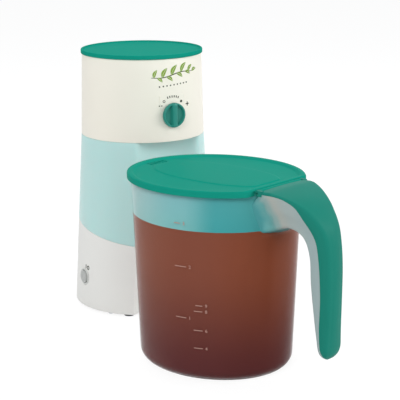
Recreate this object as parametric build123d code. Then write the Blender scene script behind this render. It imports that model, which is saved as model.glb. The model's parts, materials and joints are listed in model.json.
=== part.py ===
from build123d import *
import os
from math import cos, radians, sin

# Iced tea maker: a round tapered brewer and the oval pitcher that it fills.
# Millimetres. The origin is on the counter, on the brewer's upright axis; the
# brewer's front, with the strength knob, faces -Y and +Z is up.

# ---- brewer, overall: base and reservoir up to the line, the basket on them, its lid on top ----
FOOT_H = 3.0
LINE_Z = 196.6
BASKET_H = 90.9
LID_H = 4.5
BASE_R = 79.9
LINE_R = 69.35
TOP_R = 67.0

# ---- dock: the upright hollow in the front that takes the pitcher's back ----
DOCK_DEPTH = 21.0
DOCK_R = 84.0

# ---- base and reservoir ----
HOUSING_WALL = 2.6
JOINT_Z = 93.0
JOINT_SLOPE = 0.20
TANK_WALL = 2.2
TANK_FLOOR = 2.5
SPIGOT_H = 6.0
SPIGOT_WALL = 2.0
SPIGOT_GAP = 0.3
PLATE_T = 2.5
PLATE_GAP = 0.3

# ---- fasteners and feet under the base ----
SCREW_R = 1.7
SCREW_HOLE_GAP = 0.05
SCREW_HEAD_R = 3.0
SCREW_HEAD_H = 1.6
BOSS_R = 4.0
BOSS_H = 24.0
BOSS_BITE = 1.0
BOSS_ANGLES = (-30, 50, 130, 210)
SCREW_L = 12.0
SCREW_TIP_ROOM = 2.0
FOOT_R = 5.5
FOOT_STEM_R = 2.4
FOOT_BARB_R = 3.4
FOOT_BARB_H = 1.5
FOOT_INSET = 7.5
FOOT_ANGLES = (-46, 9, 90, 171, 226)

# ---- power button on the left side ----
BUTTON_Z = 37.0
BUTTON_R = 7.0
BUTTON_L = 9.0
BUTTON_PROUD = 1.5
BUTTON_TRAVEL = 2.5
BUTTON_GAP = 0.3
PLUNGER_R = 2.5
BEZEL_R = 9.6
BEZEL_WALL = 1.2
BEZEL_FLANGE_T = 2.2
BEZEL_SINK = 1.4
BEZEL_L = 8.0
SWITCH_SETBACK = 16.65
SWITCH_L = 14.0
SWITCH_W = 14.0
SWITCH_H = 20.0
SWITCH_BRACKET_T = 1.6
PLUNGER_TIP_GAP = 1.5
SPRING_R = 4.2
SPRING_WIRE_R = 0.45
SPRING_TURNS = 4

# ---- heater ----
HEATER_Y = 6.0
HEATER_RISE = 14.5
HEATER_H = 12.0
HEATER_R = 40.0
HEATER_HOLE_R = 16.0
HEATER_GAP_HALF_ANGLE = 35.0
TUBE_ORBIT_R = 34.0
TUBE_R = 4.5
TUBE_BORE_R = 3.6
TUBE_STUB_H = 14.0
ELEMENT_ORBIT_R = 26.0
ELEMENT_R = 2.7
ELEMENT_PIN_R = 1.4
ELEMENT_PIN_L = 7.0
GROOVE_GAP = 0.05
HEATER_SCREW_BITE = 5.0
POST_R = 3.5
POST_ORBIT_R = 35.0
POST_ANGLES = (200, 270, 340)
THERMOSTAT_R = 6.0
THERMOSTAT_H = 7.0
BLADE_SIZE = (0.8, 4.2, 5.0)
SENSOR_ORBIT_R = 22.5
FUSE_R = 2.0
FUSE_L = 12.0

# ---- water way ----
HOSE_GAP = 0.1
HOSE_WALL = 1.8
HOSE_LAP = 9.0
RISER_BEND = 11.0
INLET_BEND = 8.0
INLET_RUN_GAP = 0.5
CLAMP_T = 0.9
CLAMP_H = 5.0
CLAMP_INSET = 1.0
OUTLET_Y = -30.0
OUTLET_BOSS_R = 10.0
OUTLET_BOSS_DROP = 7.0
OUTLET_BOSS_RISE = 5.0
OUTLET_BODY_R = 6.0
OUTLET_FLANGE_R = 8.5
OUTLET_FLANGE_T = 2.0
OUTLET_SEAL_T = 1.2
OUTLET_NUT_H = 4.0
OUTLET_TAIL_L = 13.0
OUTLET_BORE_R = 3.4
VALVE_WALL = 0.9
VALVE_COLLAR_H = 3.0
VALVE_BEAK_H = 6.0
VALVE_TIP_R = 1.2
RISER_PROUD = 6.0
RISER_TAIL_L = 12.0
RISER_BOSS_R = 11.0
RISER_BOSS_DROP = 9.0
RISER_BOSS_RISE = 7.0
GROMMET_R = 7.0
GROMMET_FLANGE_R = 9.5
GROMMET_FLANGE_T = 2.0
FIT_GAP = 0.1

# ---- mains parts ----
GLAND_Z = 22.0
GLAND_R = 6.5
GLAND_FLANGE_R = 9.0
GLAND_FLANGE_T = 3.0
GLAND_SINK = 1.3
GLAND_L = 10.0
GLAND_BORE_R = 3.3
TERMINAL_SIZE = (18.0, 9.0, 11.0)
TERMINAL_INSET = 17.3
WIRE_R = 1.1
WIRE_RISE = 8.5
WIRE_SPACING = 4.0
WIRE_LEAD = 8.0
WIRE_TURN = 12.0
WIRE_BEND = 4.0
SWITCH_PIN_Y = 3.5

# ---- steeping basket ----
BASKET_WALL = 2.4
BASKET_FLOOR = 2.5
BASKET_SKIRT_GAP = 0.5
CHIMNEY_R = 9.5
CHIMNEY_BORE_R = 7.0
CHIMNEY_DROP = 23.5
CHAMBER_HALF_W = 15.0
CHAMBER_DEPTH = 17.9
CHAMBER_RISE = 22.0
CHAMBER_WALL = 2.0
SPOUT_R = 4.5
SPOUT_INSET = 11.5
BASKET_RIB_H = 3.0
BASKET_RIB_T = 1.8
BASKET_RIB_COUNT = 6
BASKET_RIB_START = 14.0
BASKET_RIB_INSET = 12.0

# ---- strength knob and its valve ----
KNOB_RISE = 29.4
KNOB_R = 13.5
KNOB_T = 4.0
KNOB_GAP = 0.251
KNOB_RIM = 1.7
KNOB_HOLLOW = 2.4
GRIP_W = 5.4
GRIP_H = 1.2
SHAFT_R = 3.0
SHAFT_RUN_GAP = 0.06
KNOB_SOCKET_L = 2.6
KNOB_EDGE = 0.8
SHAFT_END = 0.6
SEAL_R = 5.0
SEAL_PROUD = 0.3
DISC_R = 10.5
DISC_T = 1.5
DISC_GAP = 0.15
PORT_ORBIT_R = 7.0
PORT_R = 2.2
PORT_SETTINGS = ((-39, 1.2), (0, 1.6), (32, 2.1))
CLIP_R = 5.2
CLIP_T = 0.8

# ---- basket lid ----
LID_R = 68.2
LID_EDGE = 1.0
LID_RIM_W = 2.6
LID_DISH = 1.6
LID_T = 2.2
LID_PLUG_GAP = 0.7
LID_PLUG_T = 2.0
LID_PLUG_H = 6.5
SPREADER_R = 24.5
SPREADER_POST_R = 4.0
SPREADER_DROP = 12.0
SPREADER_T = 2.0

# ---- pitcher, in its own frame: the handle along +X ----
PITCHER_X = -38.0
PITCHER_Y = -217.0
HANDLE_AZIMUTH = -73.0
PITCHER_RIM_Z = 190.8
PITCHER_TOP = (89.4, 79.1)
PITCHER_FOOT = (81.0, 71.7)
PITCHER_WALL = 2.0
PITCHER_FLOOR = 2.6
PITCHER_HEEL = 12.5

# ---- pitcher lid and its hinge ----
PLID_OVERHANG = 3.9
PLID_RISE = 4.0
PLID_EDGE = 1.6
PLID_SKIRT_DROP = 2.2
PLID_SKIRT_T = 1.8
PLID_SEAT_GAP = 0.2
PLID_T = 2.0
PLID_RIM_W = 6.0
PLID_PLUG_GAP = 0.6
PLID_PLUG_T = 1.8
PLID_PLUG_H = 7.0
PLID_PLUG_END = 45.0
HINGE_INSET = 7.9
HINGE_RISE = 0.8
BARREL_R = 3.0
BARREL_HALF_L = 30.5
BARREL_GAP = 0.4
EAR_L = 4.5
PIN_R = 1.3
PIN_RUN_GAP = 0.06
INLET_INSET = 9.4
INLET_SLOTS = 5
INLET_SLOT = (9.0, 2.4)
INLET_PITCH = 5.2

# ---- pitcher handle: points are (out from the rim's end, down from the rim) ----
COVER_ROOT = (-4.0, -3.0)
COVER_ROOT_T = 2.8
HANDLE_BACK = ((8.6, -2.6), (31.6, 6.2), (47.1, 19.3), (56.1, 33.8), (60.2, 60.8), (60.4, 99.8), (59.2, 138.8))
HANDLE_BACK_HEEL = (58.0, 151.8)
HANDLE_SPLIT = ((8.6, 0.1), (19.6, 3.2), (30.1, 10.8), (38.6, 24.8), (47.2, 44.8), (51.8, 90.8), (51.4, 128.8))
HANDLE_FRONT = ((-7.4, 56.8), (0.6, 42.3), (15.6, 33.2), (30.1, 39.3), (37.6, 57.8), (39.2, 83.8), (42.6, 110.8))
HANDLE_FRONT_LOW = (47.0, 138.8)
HANDLE_FRONT_HEEL = (49.4, 150.8)
HANDLE_TIP = (54.6, 158.3)
HANDLE_WALL = 2.4
HANDLE_FLARE = ((14.5, 50.8), (16.4, 33.8), (22.6, 18.8), (29.4, 8.8), (35.0, 0.8))
HANDLE_PLAN = ((35.0, 3.0), (33.0, 10.0), (28.5, 21.0), (24.8, 31.6), (21.6, 47.1), (20.0, 62.0))
HANDLE_BOSS_R = 4.5
HANDLE_BOSS_T = 5.0
HANDLE_SCREW_OUT = 41.1
HANDLE_SCREW_DROPS = (118.8, 72.8)
HANDLE_SCREW_L = 11.0
HANDLE_SCREW_HEAD_H = 2.0

# ---- sizes that follow ----
PLATE_TOP = FOOT_H + PLATE_T
HEATER_Z = PLATE_TOP + HEATER_RISE
HEATER_TOP = HEATER_Z + HEATER_H
RIM_Z = LINE_Z + BASKET_H
BREWER_H = RIM_Z + LID_H
KNOB_Z = LINE_Z + KNOB_RISE
CHIMNEY_TOP_Z = RIM_Z - CHIMNEY_DROP
CHAMBER_TOP_Z = KNOB_Z + CHAMBER_RISE
CHAMBER_BACK_Y = CHAMBER_DEPTH - TOP_R
DOCK_Y = -(LINE_R - DOCK_DEPTH + DOCK_R)
HOSE_R = TUBE_R + HOSE_GAP + HOSE_WALL
STUB_X = TUBE_ORBIT_R * sin(radians(HEATER_GAP_HALF_ANGLE))
STUB_Y = HEATER_Y + TUBE_ORBIT_R * cos(radians(HEATER_GAP_HALF_ANGLE))
STUB_TOP = HEATER_TOP + TUBE_STUB_H
OUTLET_FLOOR_Z = JOINT_Z + JOINT_SLOPE * OUTLET_Y
OUTLET_LOW_Z = OUTLET_FLOOR_Z - OUTLET_BOSS_DROP
OUTLET_HIGH_Z = OUTLET_FLOOR_Z + OUTLET_BOSS_RISE
OUTLET_TAIL_Z = OUTLET_LOW_Z - OUTLET_NUT_H - OUTLET_TAIL_L
INLET_RUN_Z = OUTLET_TAIL_Z - INLET_BEND - INLET_RUN_GAP
RISER_BOSS_LOW = JOINT_Z - RISER_BOSS_DROP
RISER_BOSS_HIGH = JOINT_Z + RISER_BOSS_RISE
RISER_LOW_Z = RISER_BOSS_LOW - GROMMET_FLANGE_T - RISER_TAIL_L
RISER_RUN_Z = RISER_LOW_Z - RISER_BEND
RISER_TOP_Z = CHIMNEY_TOP_Z + RISER_PROUD
SPOUT_Y = -(LINE_R - SPOUT_INSET)
PITCHER_LID_TOP = PITCHER_RIM_Z + PLID_RISE
PLID_SEMI = (PITCHER_TOP[0] + PLID_OVERHANG, PITCHER_TOP[1] + PLID_OVERHANG)
PLID_SKIRT_Z = PITCHER_RIM_Z - PLID_SKIRT_DROP
HINGE_X = PITCHER_TOP[0] - HINGE_INSET
HINGE_Z = PITCHER_RIM_Z + HINGE_RISE
JOINT_PLANE = Plane(origin=(0, 0, JOINT_Z), x_dir=(1, 0, 0), z_dir=(0, -JOINT_SLOPE, 1))
FAR = 400.0
CUT = 20.0
UP = (Align.CENTER, Align.CENTER, Align.MIN)
BEYOND = (Align.MIN, Align.CENTER, Align.MIN)
BEFORE = (Align.CENTER, Align.MAX, Align.MIN)


def polar(radius, angle):
    """Point on a circle round the brewer's axis."""
    return radius * cos(radians(angle)), radius * sin(radians(angle))


def lower_radius(z):
    """Outer radius of the base and reservoir at height z."""
    return BASE_R + (LINE_R - BASE_R) * (z - FOOT_H) / (LINE_Z - FOOT_H)


def basket_radius(z):
    """Outer radius of the basket at height z."""
    return LINE_R + (TOP_R - LINE_R) * (z - LINE_Z) / (RIM_Z - LINE_Z)


def cone(r_low, r_high, z_low, z_high):
    return Pos(0, 0, z_low) * Cone(r_low, r_high, z_high - z_low, align=UP)


def column(radius, z_low, z_high, x=0.0, y=0.0):
    """Upright cylinder between two heights."""
    return Pos(x, y, z_low) * Cylinder(radius, z_high - z_low, align=UP)


def ring(r_out, r_in, z_low, z_high, x=0.0, y=0.0):
    """Upright ring between two heights."""
    return column(r_out, z_low, z_high, x, y) - column(r_in, z_low - 1, z_high + 1, x, y)


def rod_x(radius, x_low, x_high, y, z):
    """Cylinder along X."""
    return Pos((x_low + x_high) / 2, y, z) * Rot(0, 90, 0) * Cylinder(radius, x_high - x_low)


def rod_y(radius, y_low, y_high, x, z):
    """Cylinder along Y."""
    return Pos(x, (y_low + y_high) / 2, z) * Rot(90, 0, 0) * Cylinder(radius, y_high - y_low)


def scooped(inset, z_low, z_high):
    """The brewer's lower body, with the dock cut out of its front, shrunk by inset."""
    body = cone(lower_radius(z_low) - inset, lower_radius(z_high) - inset, z_low, z_high)
    return body - column(DOCK_R + inset, z_low - 1, z_high + 1, 0, DOCK_Y)


def above_joint(lift):
    """Everything above the sloping joint of base and reservoir, raised by lift."""
    return JOINT_PLANE * Pos(0, 0, lift) * Box(FAR, FAR, FAR, align=UP)


def below_joint(lift):
    """Everything below the sloping joint, raised by lift."""
    return JOINT_PLANE * Pos(0, 0, lift) * Box(FAR, FAR, FAR, align=(Align.CENTER, Align.CENTER, Align.MAX))


def round_tube(points, radius, bend):
    """Straight runs joined by tangent arcs."""
    path = FilletPolyline(*points, radius=bend)
    section = Plane(origin=path @ 0, z_dir=path % 0) * Circle(radius)
    return sweep(section, path=path)


def on_left(shape):
    """Turns a piece drawn outwards along +X to the brewer's left side."""
    return Rot(0, 0, 180) * shape


# ---- brewer base ----

def screw_places():
    orbit = lower_radius(FOOT_H) - HOUSING_WALL - BOSS_R + BOSS_BITE
    return [polar(orbit, angle) for angle in BOSS_ANGLES]


def foot_places():
    orbit = lower_radius(FOOT_H) - HOUSING_WALL - FOOT_INSET
    places = [polar(orbit, angle) for angle in FOOT_ANGLES]
    return places + [(0.0, 0.0)]


def post_places():
    return [(x, y + HEATER_Y) for x, y in (polar(POST_ORBIT_R, angle) for angle in POST_ANGLES)]


def bracket_screw_places():
    reach = switch_face() - SWITCH_L / 2
    return [(-reach, side * SWITCH_W / 4) for side in (-1, 1)]


def bezel_face():
    """Distance from the axis to the seat of the button's bezel."""
    return lower_radius(BUTTON_Z) - BEZEL_SINK


def switch_face():
    """Distance from the axis to the switch's front."""
    return bezel_face() - SWITCH_SETBACK


def base_housing():
    high = JOINT_Z + 2 * CUT
    outer = scooped(0, FOOT_H, high) - above_joint(0)
    shell = outer - scooped(HOUSING_WALL, FOOT_H - 1, high + 1)
    for x, y in screw_places():
        boss = column(BOSS_R, PLATE_TOP, PLATE_TOP + BOSS_H, x, y)
        shell += boss & outer
        shell -= column(SCREW_R + SCREW_HOLE_GAP, FOOT_H, FOOT_H + SCREW_L + SCREW_TIP_ROOM, x, y)
    seat = bezel_face()
    shell -= on_left(rod_x(BEZEL_R + FIT_GAP, seat, seat + CUT, 0, BUTTON_Z))
    sleeve = BUTTON_R + BUTTON_GAP + BEZEL_WALL + FIT_GAP
    shell -= on_left(rod_x(sleeve, seat - CUT, seat + 1, 0, BUTTON_Z))
    back = lower_radius(GLAND_Z) - GLAND_SINK
    shell -= rod_y(GLAND_FLANGE_R + FIT_GAP, back, back + CUT, 0, GLAND_Z)
    shell -= rod_y(GLAND_R + FIT_GAP, back - CUT, back + 1, 0, GLAND_Z)
    return shell


def base_plate():
    plate = scooped(HOUSING_WALL + PLATE_GAP, FOOT_H, PLATE_TOP)
    for x, y in screw_places() + post_places() + bracket_screw_places():
        plate -= column(SCREW_R + SCREW_HOLE_GAP, 0, PLATE_TOP + 1, x, y)
    for x, y in foot_places():
        plate -= column(FOOT_STEM_R + FIT_GAP, 0, PLATE_TOP + 1, x, y)
    return plate


def rubber_feet():
    feet = []
    for x, y in foot_places():
        foot = column(FOOT_R, 0, FOOT_H, x, y) + column(FOOT_STEM_R, FOOT_H, PLATE_TOP, x, y)
        feet.append(foot + column(FOOT_BARB_R, PLATE_TOP, PLATE_TOP + FOOT_BARB_H, x, y))
    return Compound(children=feet)


def screws(places, length):
    """Pan-head screws put in from below the base plate."""
    made = []
    for x, y in places:
        head = column(SCREW_HEAD_R, FOOT_H - SCREW_HEAD_H, FOOT_H, x, y)
        made.append(head + column(SCREW_R, FOOT_H, FOOT_H + length, x, y))
    return Compound(children=made)


def base_screws():
    return screws(screw_places(), SCREW_L)


# ---- power switch ----

def switch_bezel():
    seat = bezel_face()
    bore = BUTTON_R + BUTTON_GAP
    flange = rod_x(BEZEL_R, seat, seat + BEZEL_FLANGE_T, 0, BUTTON_Z)
    sleeve = rod_x(bore + BEZEL_WALL, seat - BEZEL_L, seat, 0, BUTTON_Z)
    body = flange + sleeve - rod_x(bore, seat - CUT, seat + CUT, 0, BUTTON_Z)
    rim = body.faces().sort_by(Axis.X)[-1].outer_wire().edges()
    return on_left(fillet(rim, BEZEL_FLANGE_T / 3))


def button_front():
    return bezel_face() + BEZEL_FLANGE_T + BUTTON_PROUD


def power_button():
    front = button_front()
    cap = rod_x(BUTTON_R, front - BUTTON_L, front, 0, BUTTON_Z)
    cap = fillet(cap.edges().sort_by(Axis.X)[-1:], 1.0)
    cap += rod_x(PLUNGER_R, switch_face() - PLUNGER_TIP_GAP, front - BUTTON_L, 0, BUTTON_Z)
    return on_left(cap)


def button_spring():
    room = button_front() - BUTTON_L - switch_face()
    length = room - 2 * SPRING_WIRE_R - 2 * FIT_GAP
    coil = Helix(pitch=length / SPRING_TURNS, height=length, radius=SPRING_R)
    wire = Plane(origin=coil @ 0, z_dir=coil % 0) * Circle(SPRING_WIRE_R)
    spring = sweep(wire, path=coil, is_frenet=True)
    start = switch_face() + SPRING_WIRE_R + FIT_GAP
    return on_left(Pos(start, 0, BUTTON_Z) * Rot(0, 90, 0) * spring)


def switch_body():
    x = switch_face() - SWITCH_L / 2
    box = Pos(x, 0, BUTTON_Z) * Box(SWITCH_L, SWITCH_W, SWITCH_H)
    well = PLUNGER_R + BUTTON_GAP
    depth = PLUNGER_TIP_GAP + BUTTON_TRAVEL + 1
    return on_left(box - rod_x(well, switch_face() - depth, switch_face() + 1, 0, BUTTON_Z))


def switch_bracket():
    back = switch_face() - SWITCH_L
    top = BUTTON_Z + SWITCH_H / 2
    upright = Box(SWITCH_BRACKET_T, SWITCH_W, top - PLATE_TOP, align=UP)
    upright = Pos(back - SWITCH_BRACKET_T / 2, 0, PLATE_TOP) * upright
    foot = Pos(back + SWITCH_L / 2, 0, PLATE_TOP) * Box(SWITCH_L, SWITCH_W, SWITCH_BRACKET_T, align=UP)
    bracket = on_left(upright + foot)
    for x, y in bracket_screw_places():
        bracket -= column(SCREW_R + SCREW_HOLE_GAP, 0, PLATE_TOP + SWITCH_BRACKET_T + 1, x, y)
    return bracket


def bracket_screws():
    return screws(bracket_screw_places(), PLATE_T + SWITCH_BRACKET_T + 0.5)


# ---- heater ----

def heater_block():
    block = ring(HEATER_R, HEATER_HOLE_R, HEATER_Z, HEATER_TOP)
    reach = HEATER_R / cos(radians(HEATER_GAP_HALF_ANGLE))
    side = reach * sin(radians(HEATER_GAP_HALF_ANGLE))
    wedge = Polyline((0, 0), (side, HEATER_R), (-side, HEATER_R), close=True)
    block -= Pos(0, 0, HEATER_Z) * extrude(make_face(wedge), HEATER_H)
    block -= Pos(0, 0, HEATER_TOP) * Torus(TUBE_ORBIT_R, TUBE_R + GROOVE_GAP)
    block -= Pos(0, 0, HEATER_Z) * Torus(ELEMENT_ORBIT_R, ELEMENT_R + GROOVE_GAP)
    block = Pos(0, HEATER_Y, 0) * block
    for x, y in post_places():
        block -= column(SCREW_R + SCREW_HOLE_GAP, 0, HEATER_Z + HEATER_SCREW_BITE + 1, x, y)
    return block


def heater_arc(orbit, radius, z):
    """Round bar bent round the heater, open at the back."""
    start = 90 + HEATER_GAP_HALF_ANGLE
    section = Plane.XZ * Pos(orbit, z) * Circle(radius)
    arc = revolve(section, axis=Axis.Z, revolution_arc=360 - 2 * HEATER_GAP_HALF_ANGLE)
    return Pos(0, HEATER_Y, 0) * Rot(0, 0, start) * arc


def tube_shape(radius, top):
    """The heater's water tube: an arc whose two ends turn upwards."""
    shape = heater_arc(TUBE_ORBIT_R, radius, HEATER_TOP)
    for side in (-1, 1):
        shape += Pos(side * STUB_X, STUB_Y, HEATER_TOP) * Sphere(radius)
        shape += column(radius, HEATER_TOP, top, side * STUB_X, STUB_Y)
    return shape


def water_tube():
    return tube_shape(TUBE_R, STUB_TOP) - tube_shape(TUBE_BORE_R, STUB_TOP + 1)


def heating_element():
    element = heater_arc(ELEMENT_ORBIT_R, ELEMENT_R, HEATER_Z)
    for side in (-1, 1):
        x = side * ELEMENT_ORBIT_R * sin(radians(HEATER_GAP_HALF_ANGLE))
        y = HEATER_Y + ELEMENT_ORBIT_R * cos(radians(HEATER_GAP_HALF_ANGLE))
        element += Pos(x, y, HEATER_Z) * Sphere(ELEMENT_R)
        element += column(ELEMENT_PIN_R, HEATER_Z - ELEMENT_PIN_L, HEATER_Z, x, y)
    return element


def heater_posts():
    posts = []
    for x, y in post_places():
        posts.append(ring(POST_R, SCREW_R + SCREW_HOLE_GAP, PLATE_TOP, HEATER_Z, x, y))
    return Compound(children=posts)


def heater_screws():
    return screws(post_places(), HEATER_Z - FOOT_H + HEATER_SCREW_BITE)


def thermostat():
    y = HEATER_Y - SENSOR_ORBIT_R
    body = column(THERMOSTAT_R, HEATER_TOP, HEATER_TOP + THERMOSTAT_H, 0, y)
    for side in (-1, 1):
        body += Pos(side * THERMOSTAT_R / 2, y, HEATER_TOP + THERMOSTAT_H) * Box(*BLADE_SIZE, align=UP)
    return body


def thermal_fuse():
    return rod_y(FUSE_R, HEATER_Y - FUSE_L / 2, HEATER_Y + FUSE_L / 2, SENSOR_ORBIT_R, HEATER_TOP + FUSE_R)


# ---- water way ----

def inlet_hose():
    points = [(STUB_X, OUTLET_Y, OUTLET_TAIL_Z + HOSE_LAP), (STUB_X, OUTLET_Y, INLET_RUN_Z)]
    points += [(STUB_X, STUB_Y, INLET_RUN_Z), (STUB_X, STUB_Y, STUB_TOP - HOSE_LAP)]
    return round_tube(points, HOSE_R, INLET_BEND) - round_tube(points, HOSE_R - HOSE_WALL, INLET_BEND)


def riser_hose():
    points = [(-STUB_X, STUB_Y, STUB_TOP - HOSE_LAP), (-STUB_X, STUB_Y, RISER_RUN_Z)]
    points += [(0, 0, RISER_RUN_Z), (0, 0, RISER_LOW_Z + HOSE_LAP)]
    return round_tube(points, HOSE_R, RISER_BEND) - round_tube(points, HOSE_R - HOSE_WALL, RISER_BEND)


def hose_clamps():
    inner = HOSE_R + FIT_GAP / 2
    stub = STUB_TOP - CLAMP_H - CLAMP_INSET
    places = [(STUB_X, OUTLET_Y, OUTLET_TAIL_Z + CLAMP_INSET), (STUB_X, STUB_Y, stub)]
    places += [(-STUB_X, STUB_Y, stub), (0, 0, RISER_LOW_Z + CLAMP_INSET)]
    return Compound(children=[ring(inner + CLAMP_T, inner, z, z + CLAMP_H, x, y) for x, y, z in places])


def outlet_seal():
    z = OUTLET_HIGH_Z
    return ring(OUTLET_FLANGE_R, OUTLET_BODY_R + FIT_GAP, z, z + OUTLET_SEAL_T, STUB_X, OUTLET_Y)


def outlet_fitting():
    z = OUTLET_HIGH_Z + OUTLET_SEAL_T
    nut_z = OUTLET_LOW_Z - OUTLET_NUT_H
    body = column(OUTLET_FLANGE_R, z, z + OUTLET_FLANGE_T, STUB_X, OUTLET_Y)
    body += column(OUTLET_BODY_R, nut_z, z, STUB_X, OUTLET_Y)
    body += column(TUBE_R, OUTLET_TAIL_Z, nut_z, STUB_X, OUTLET_Y)
    return body - column(OUTLET_BORE_R, OUTLET_TAIL_Z - 1, z + OUTLET_FLANGE_T + 1, STUB_X, OUTLET_Y)


def outlet_nut():
    z = OUTLET_LOW_Z - OUTLET_NUT_H
    hexagon = Pos(STUB_X, OUTLET_Y, z) * extrude(RegularPolygon(OUTLET_FLANGE_R, 6), OUTLET_NUT_H)
    return hexagon - column(OUTLET_BODY_R + FIT_GAP, z - 1, z + OUTLET_NUT_H + 1, STUB_X, OUTLET_Y)


def duckbill_valve():
    """One-way valve in the outlet: a collar and a beak that points down."""
    radius = OUTLET_BORE_R - FIT_GAP
    top = OUTLET_HIGH_Z
    low = top - VALVE_COLLAR_H
    collar = ring(radius, radius - VALVE_WALL, low, top, STUB_X, OUTLET_Y)
    place = Pos(STUB_X, OUTLET_Y, low - VALVE_BEAK_H)
    beak = place * Cone(VALVE_TIP_R, radius, VALVE_BEAK_H, align=UP)
    beak -= place * Cone(VALVE_TIP_R - VALVE_WALL, radius - VALVE_WALL, VALVE_BEAK_H, align=UP)
    return collar + beak


def riser_grommet():
    low = RISER_BOSS_LOW
    high = RISER_BOSS_HIGH
    body = column(GROMMET_R, low, high)
    body += column(GROMMET_FLANGE_R, high, high + GROMMET_FLANGE_T)
    body += column(GROMMET_FLANGE_R, low - GROMMET_FLANGE_T, low)
    return body - column(TUBE_R + GROOVE_GAP, low - CUT, high + CUT)


def riser_tube():
    return ring(TUBE_R, TUBE_BORE_R, RISER_LOW_Z, RISER_TOP_Z)


def reservoir():
    low = JOINT_Z - 2 * CUT
    wall = scooped(0, low, LINE_Z) - below_joint(0)
    wall -= scooped(TANK_WALL, low, LINE_Z + 1) - below_joint(TANK_FLOOR)
    inset = HOUSING_WALL + SPIGOT_GAP
    high = JOINT_Z + 2 * CUT
    spigot = scooped(inset, low, high) - scooped(inset + SPIGOT_WALL, low - 1, high + 1)
    wall += spigot - above_joint(TANK_FLOOR / 2) - below_joint(-SPIGOT_H)
    wall += column(RISER_BOSS_R, RISER_BOSS_LOW, RISER_BOSS_HIGH)
    wall += column(OUTLET_BOSS_R, OUTLET_LOW_Z, OUTLET_HIGH_Z, STUB_X, OUTLET_Y)
    wall -= column(GROMMET_R + FIT_GAP, 0, LINE_Z)
    return wall - column(OUTLET_BODY_R + FIT_GAP, 0, LINE_Z, STUB_X, OUTLET_Y)


# ---- mains parts ----

def cord_gland():
    back = lower_radius(GLAND_Z) - GLAND_SINK
    body = rod_y(GLAND_FLANGE_R, back, back + GLAND_FLANGE_T, 0, GLAND_Z)
    body = fillet(body.edges().sort_by(Axis.Y)[-1:], 1.0)
    body += rod_y(GLAND_R, back - GLAND_L, back, 0, GLAND_Z)
    return body - rod_y(GLAND_BORE_R, back - CUT, back + CUT, 0, GLAND_Z)


def terminal_y():
    return lower_radius(FOOT_H) - HOUSING_WALL - TERMINAL_INSET


def terminal_block():
    return Pos(0, terminal_y(), PLATE_TOP) * Box(*TERMINAL_SIZE, align=UP)


def lead_wires():
    """Feed to the switch, switch to heater, and heater back to the terminals."""
    end = TERMINAL_SIZE[0] / 2
    y = terminal_y()
    z = PLATE_TOP + WIRE_RISE
    low = z - WIRE_SPACING
    under = BUTTON_Z - SWITCH_H / 2
    pin_x = ELEMENT_ORBIT_R * sin(radians(HEATER_GAP_HALF_ANGLE))
    pin_y = HEATER_Y + ELEMENT_ORBIT_R * cos(radians(HEATER_GAP_HALF_ANGLE))
    x = -switch_face() + SWITCH_L / 2
    feed = [(-end, y, low), (-end - WIRE_LEAD, y, low), (x + WIRE_TURN, y - WIRE_LEAD, low)]
    feed += [(x, 2 * WIRE_TURN, low), (x, SWITCH_PIN_Y, low), (x, SWITCH_PIN_Y, under)]
    live = [(x, -SWITCH_PIN_Y, under), (x, -SWITCH_PIN_Y, z)]
    live += [(x + WIRE_TURN, 2 * WIRE_TURN - WIRE_SPACING, z)]
    live += [(-pin_x - WIRE_LEAD, pin_y, z), (-pin_x - ELEMENT_PIN_R, pin_y, z)]
    back = [(end, y, z), (end + WIRE_LEAD, y, z), (pin_x + WIRE_LEAD, y - WIRE_TURN, z)]
    back += [(pin_x, pin_y + WIRE_TURN, z), (pin_x, pin_y + ELEMENT_PIN_R, z)]
    return Compound(children=[round_tube(points, WIRE_R, WIRE_BEND) for points in (feed, live, back)])


# ---- steeping basket ----

def basket_cavity():
    low = LINE_Z + BASKET_FLOOR
    return cone(basket_radius(low) - BASKET_WALL, basket_radius(RIM_Z) - BASKET_WALL, low, RIM_Z + 0.01)


def drain_chamber(cavity):
    """Box inside the front wall that the valve opens into and the spout drains."""
    low = LINE_Z + BASKET_FLOOR
    height = CHAMBER_TOP_Z - low
    outer = Pos(0, CHAMBER_BACK_Y, low) * Box(2 * CHAMBER_HALF_W, FAR, height, align=BEFORE)
    inner_w = 2 * (CHAMBER_HALF_W - CHAMBER_WALL)
    inner = Pos(0, CHAMBER_BACK_Y - CHAMBER_WALL, low - 1) * Box(inner_w, FAR, height + 2, align=BEFORE)
    return (outer - inner) & cavity


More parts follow.
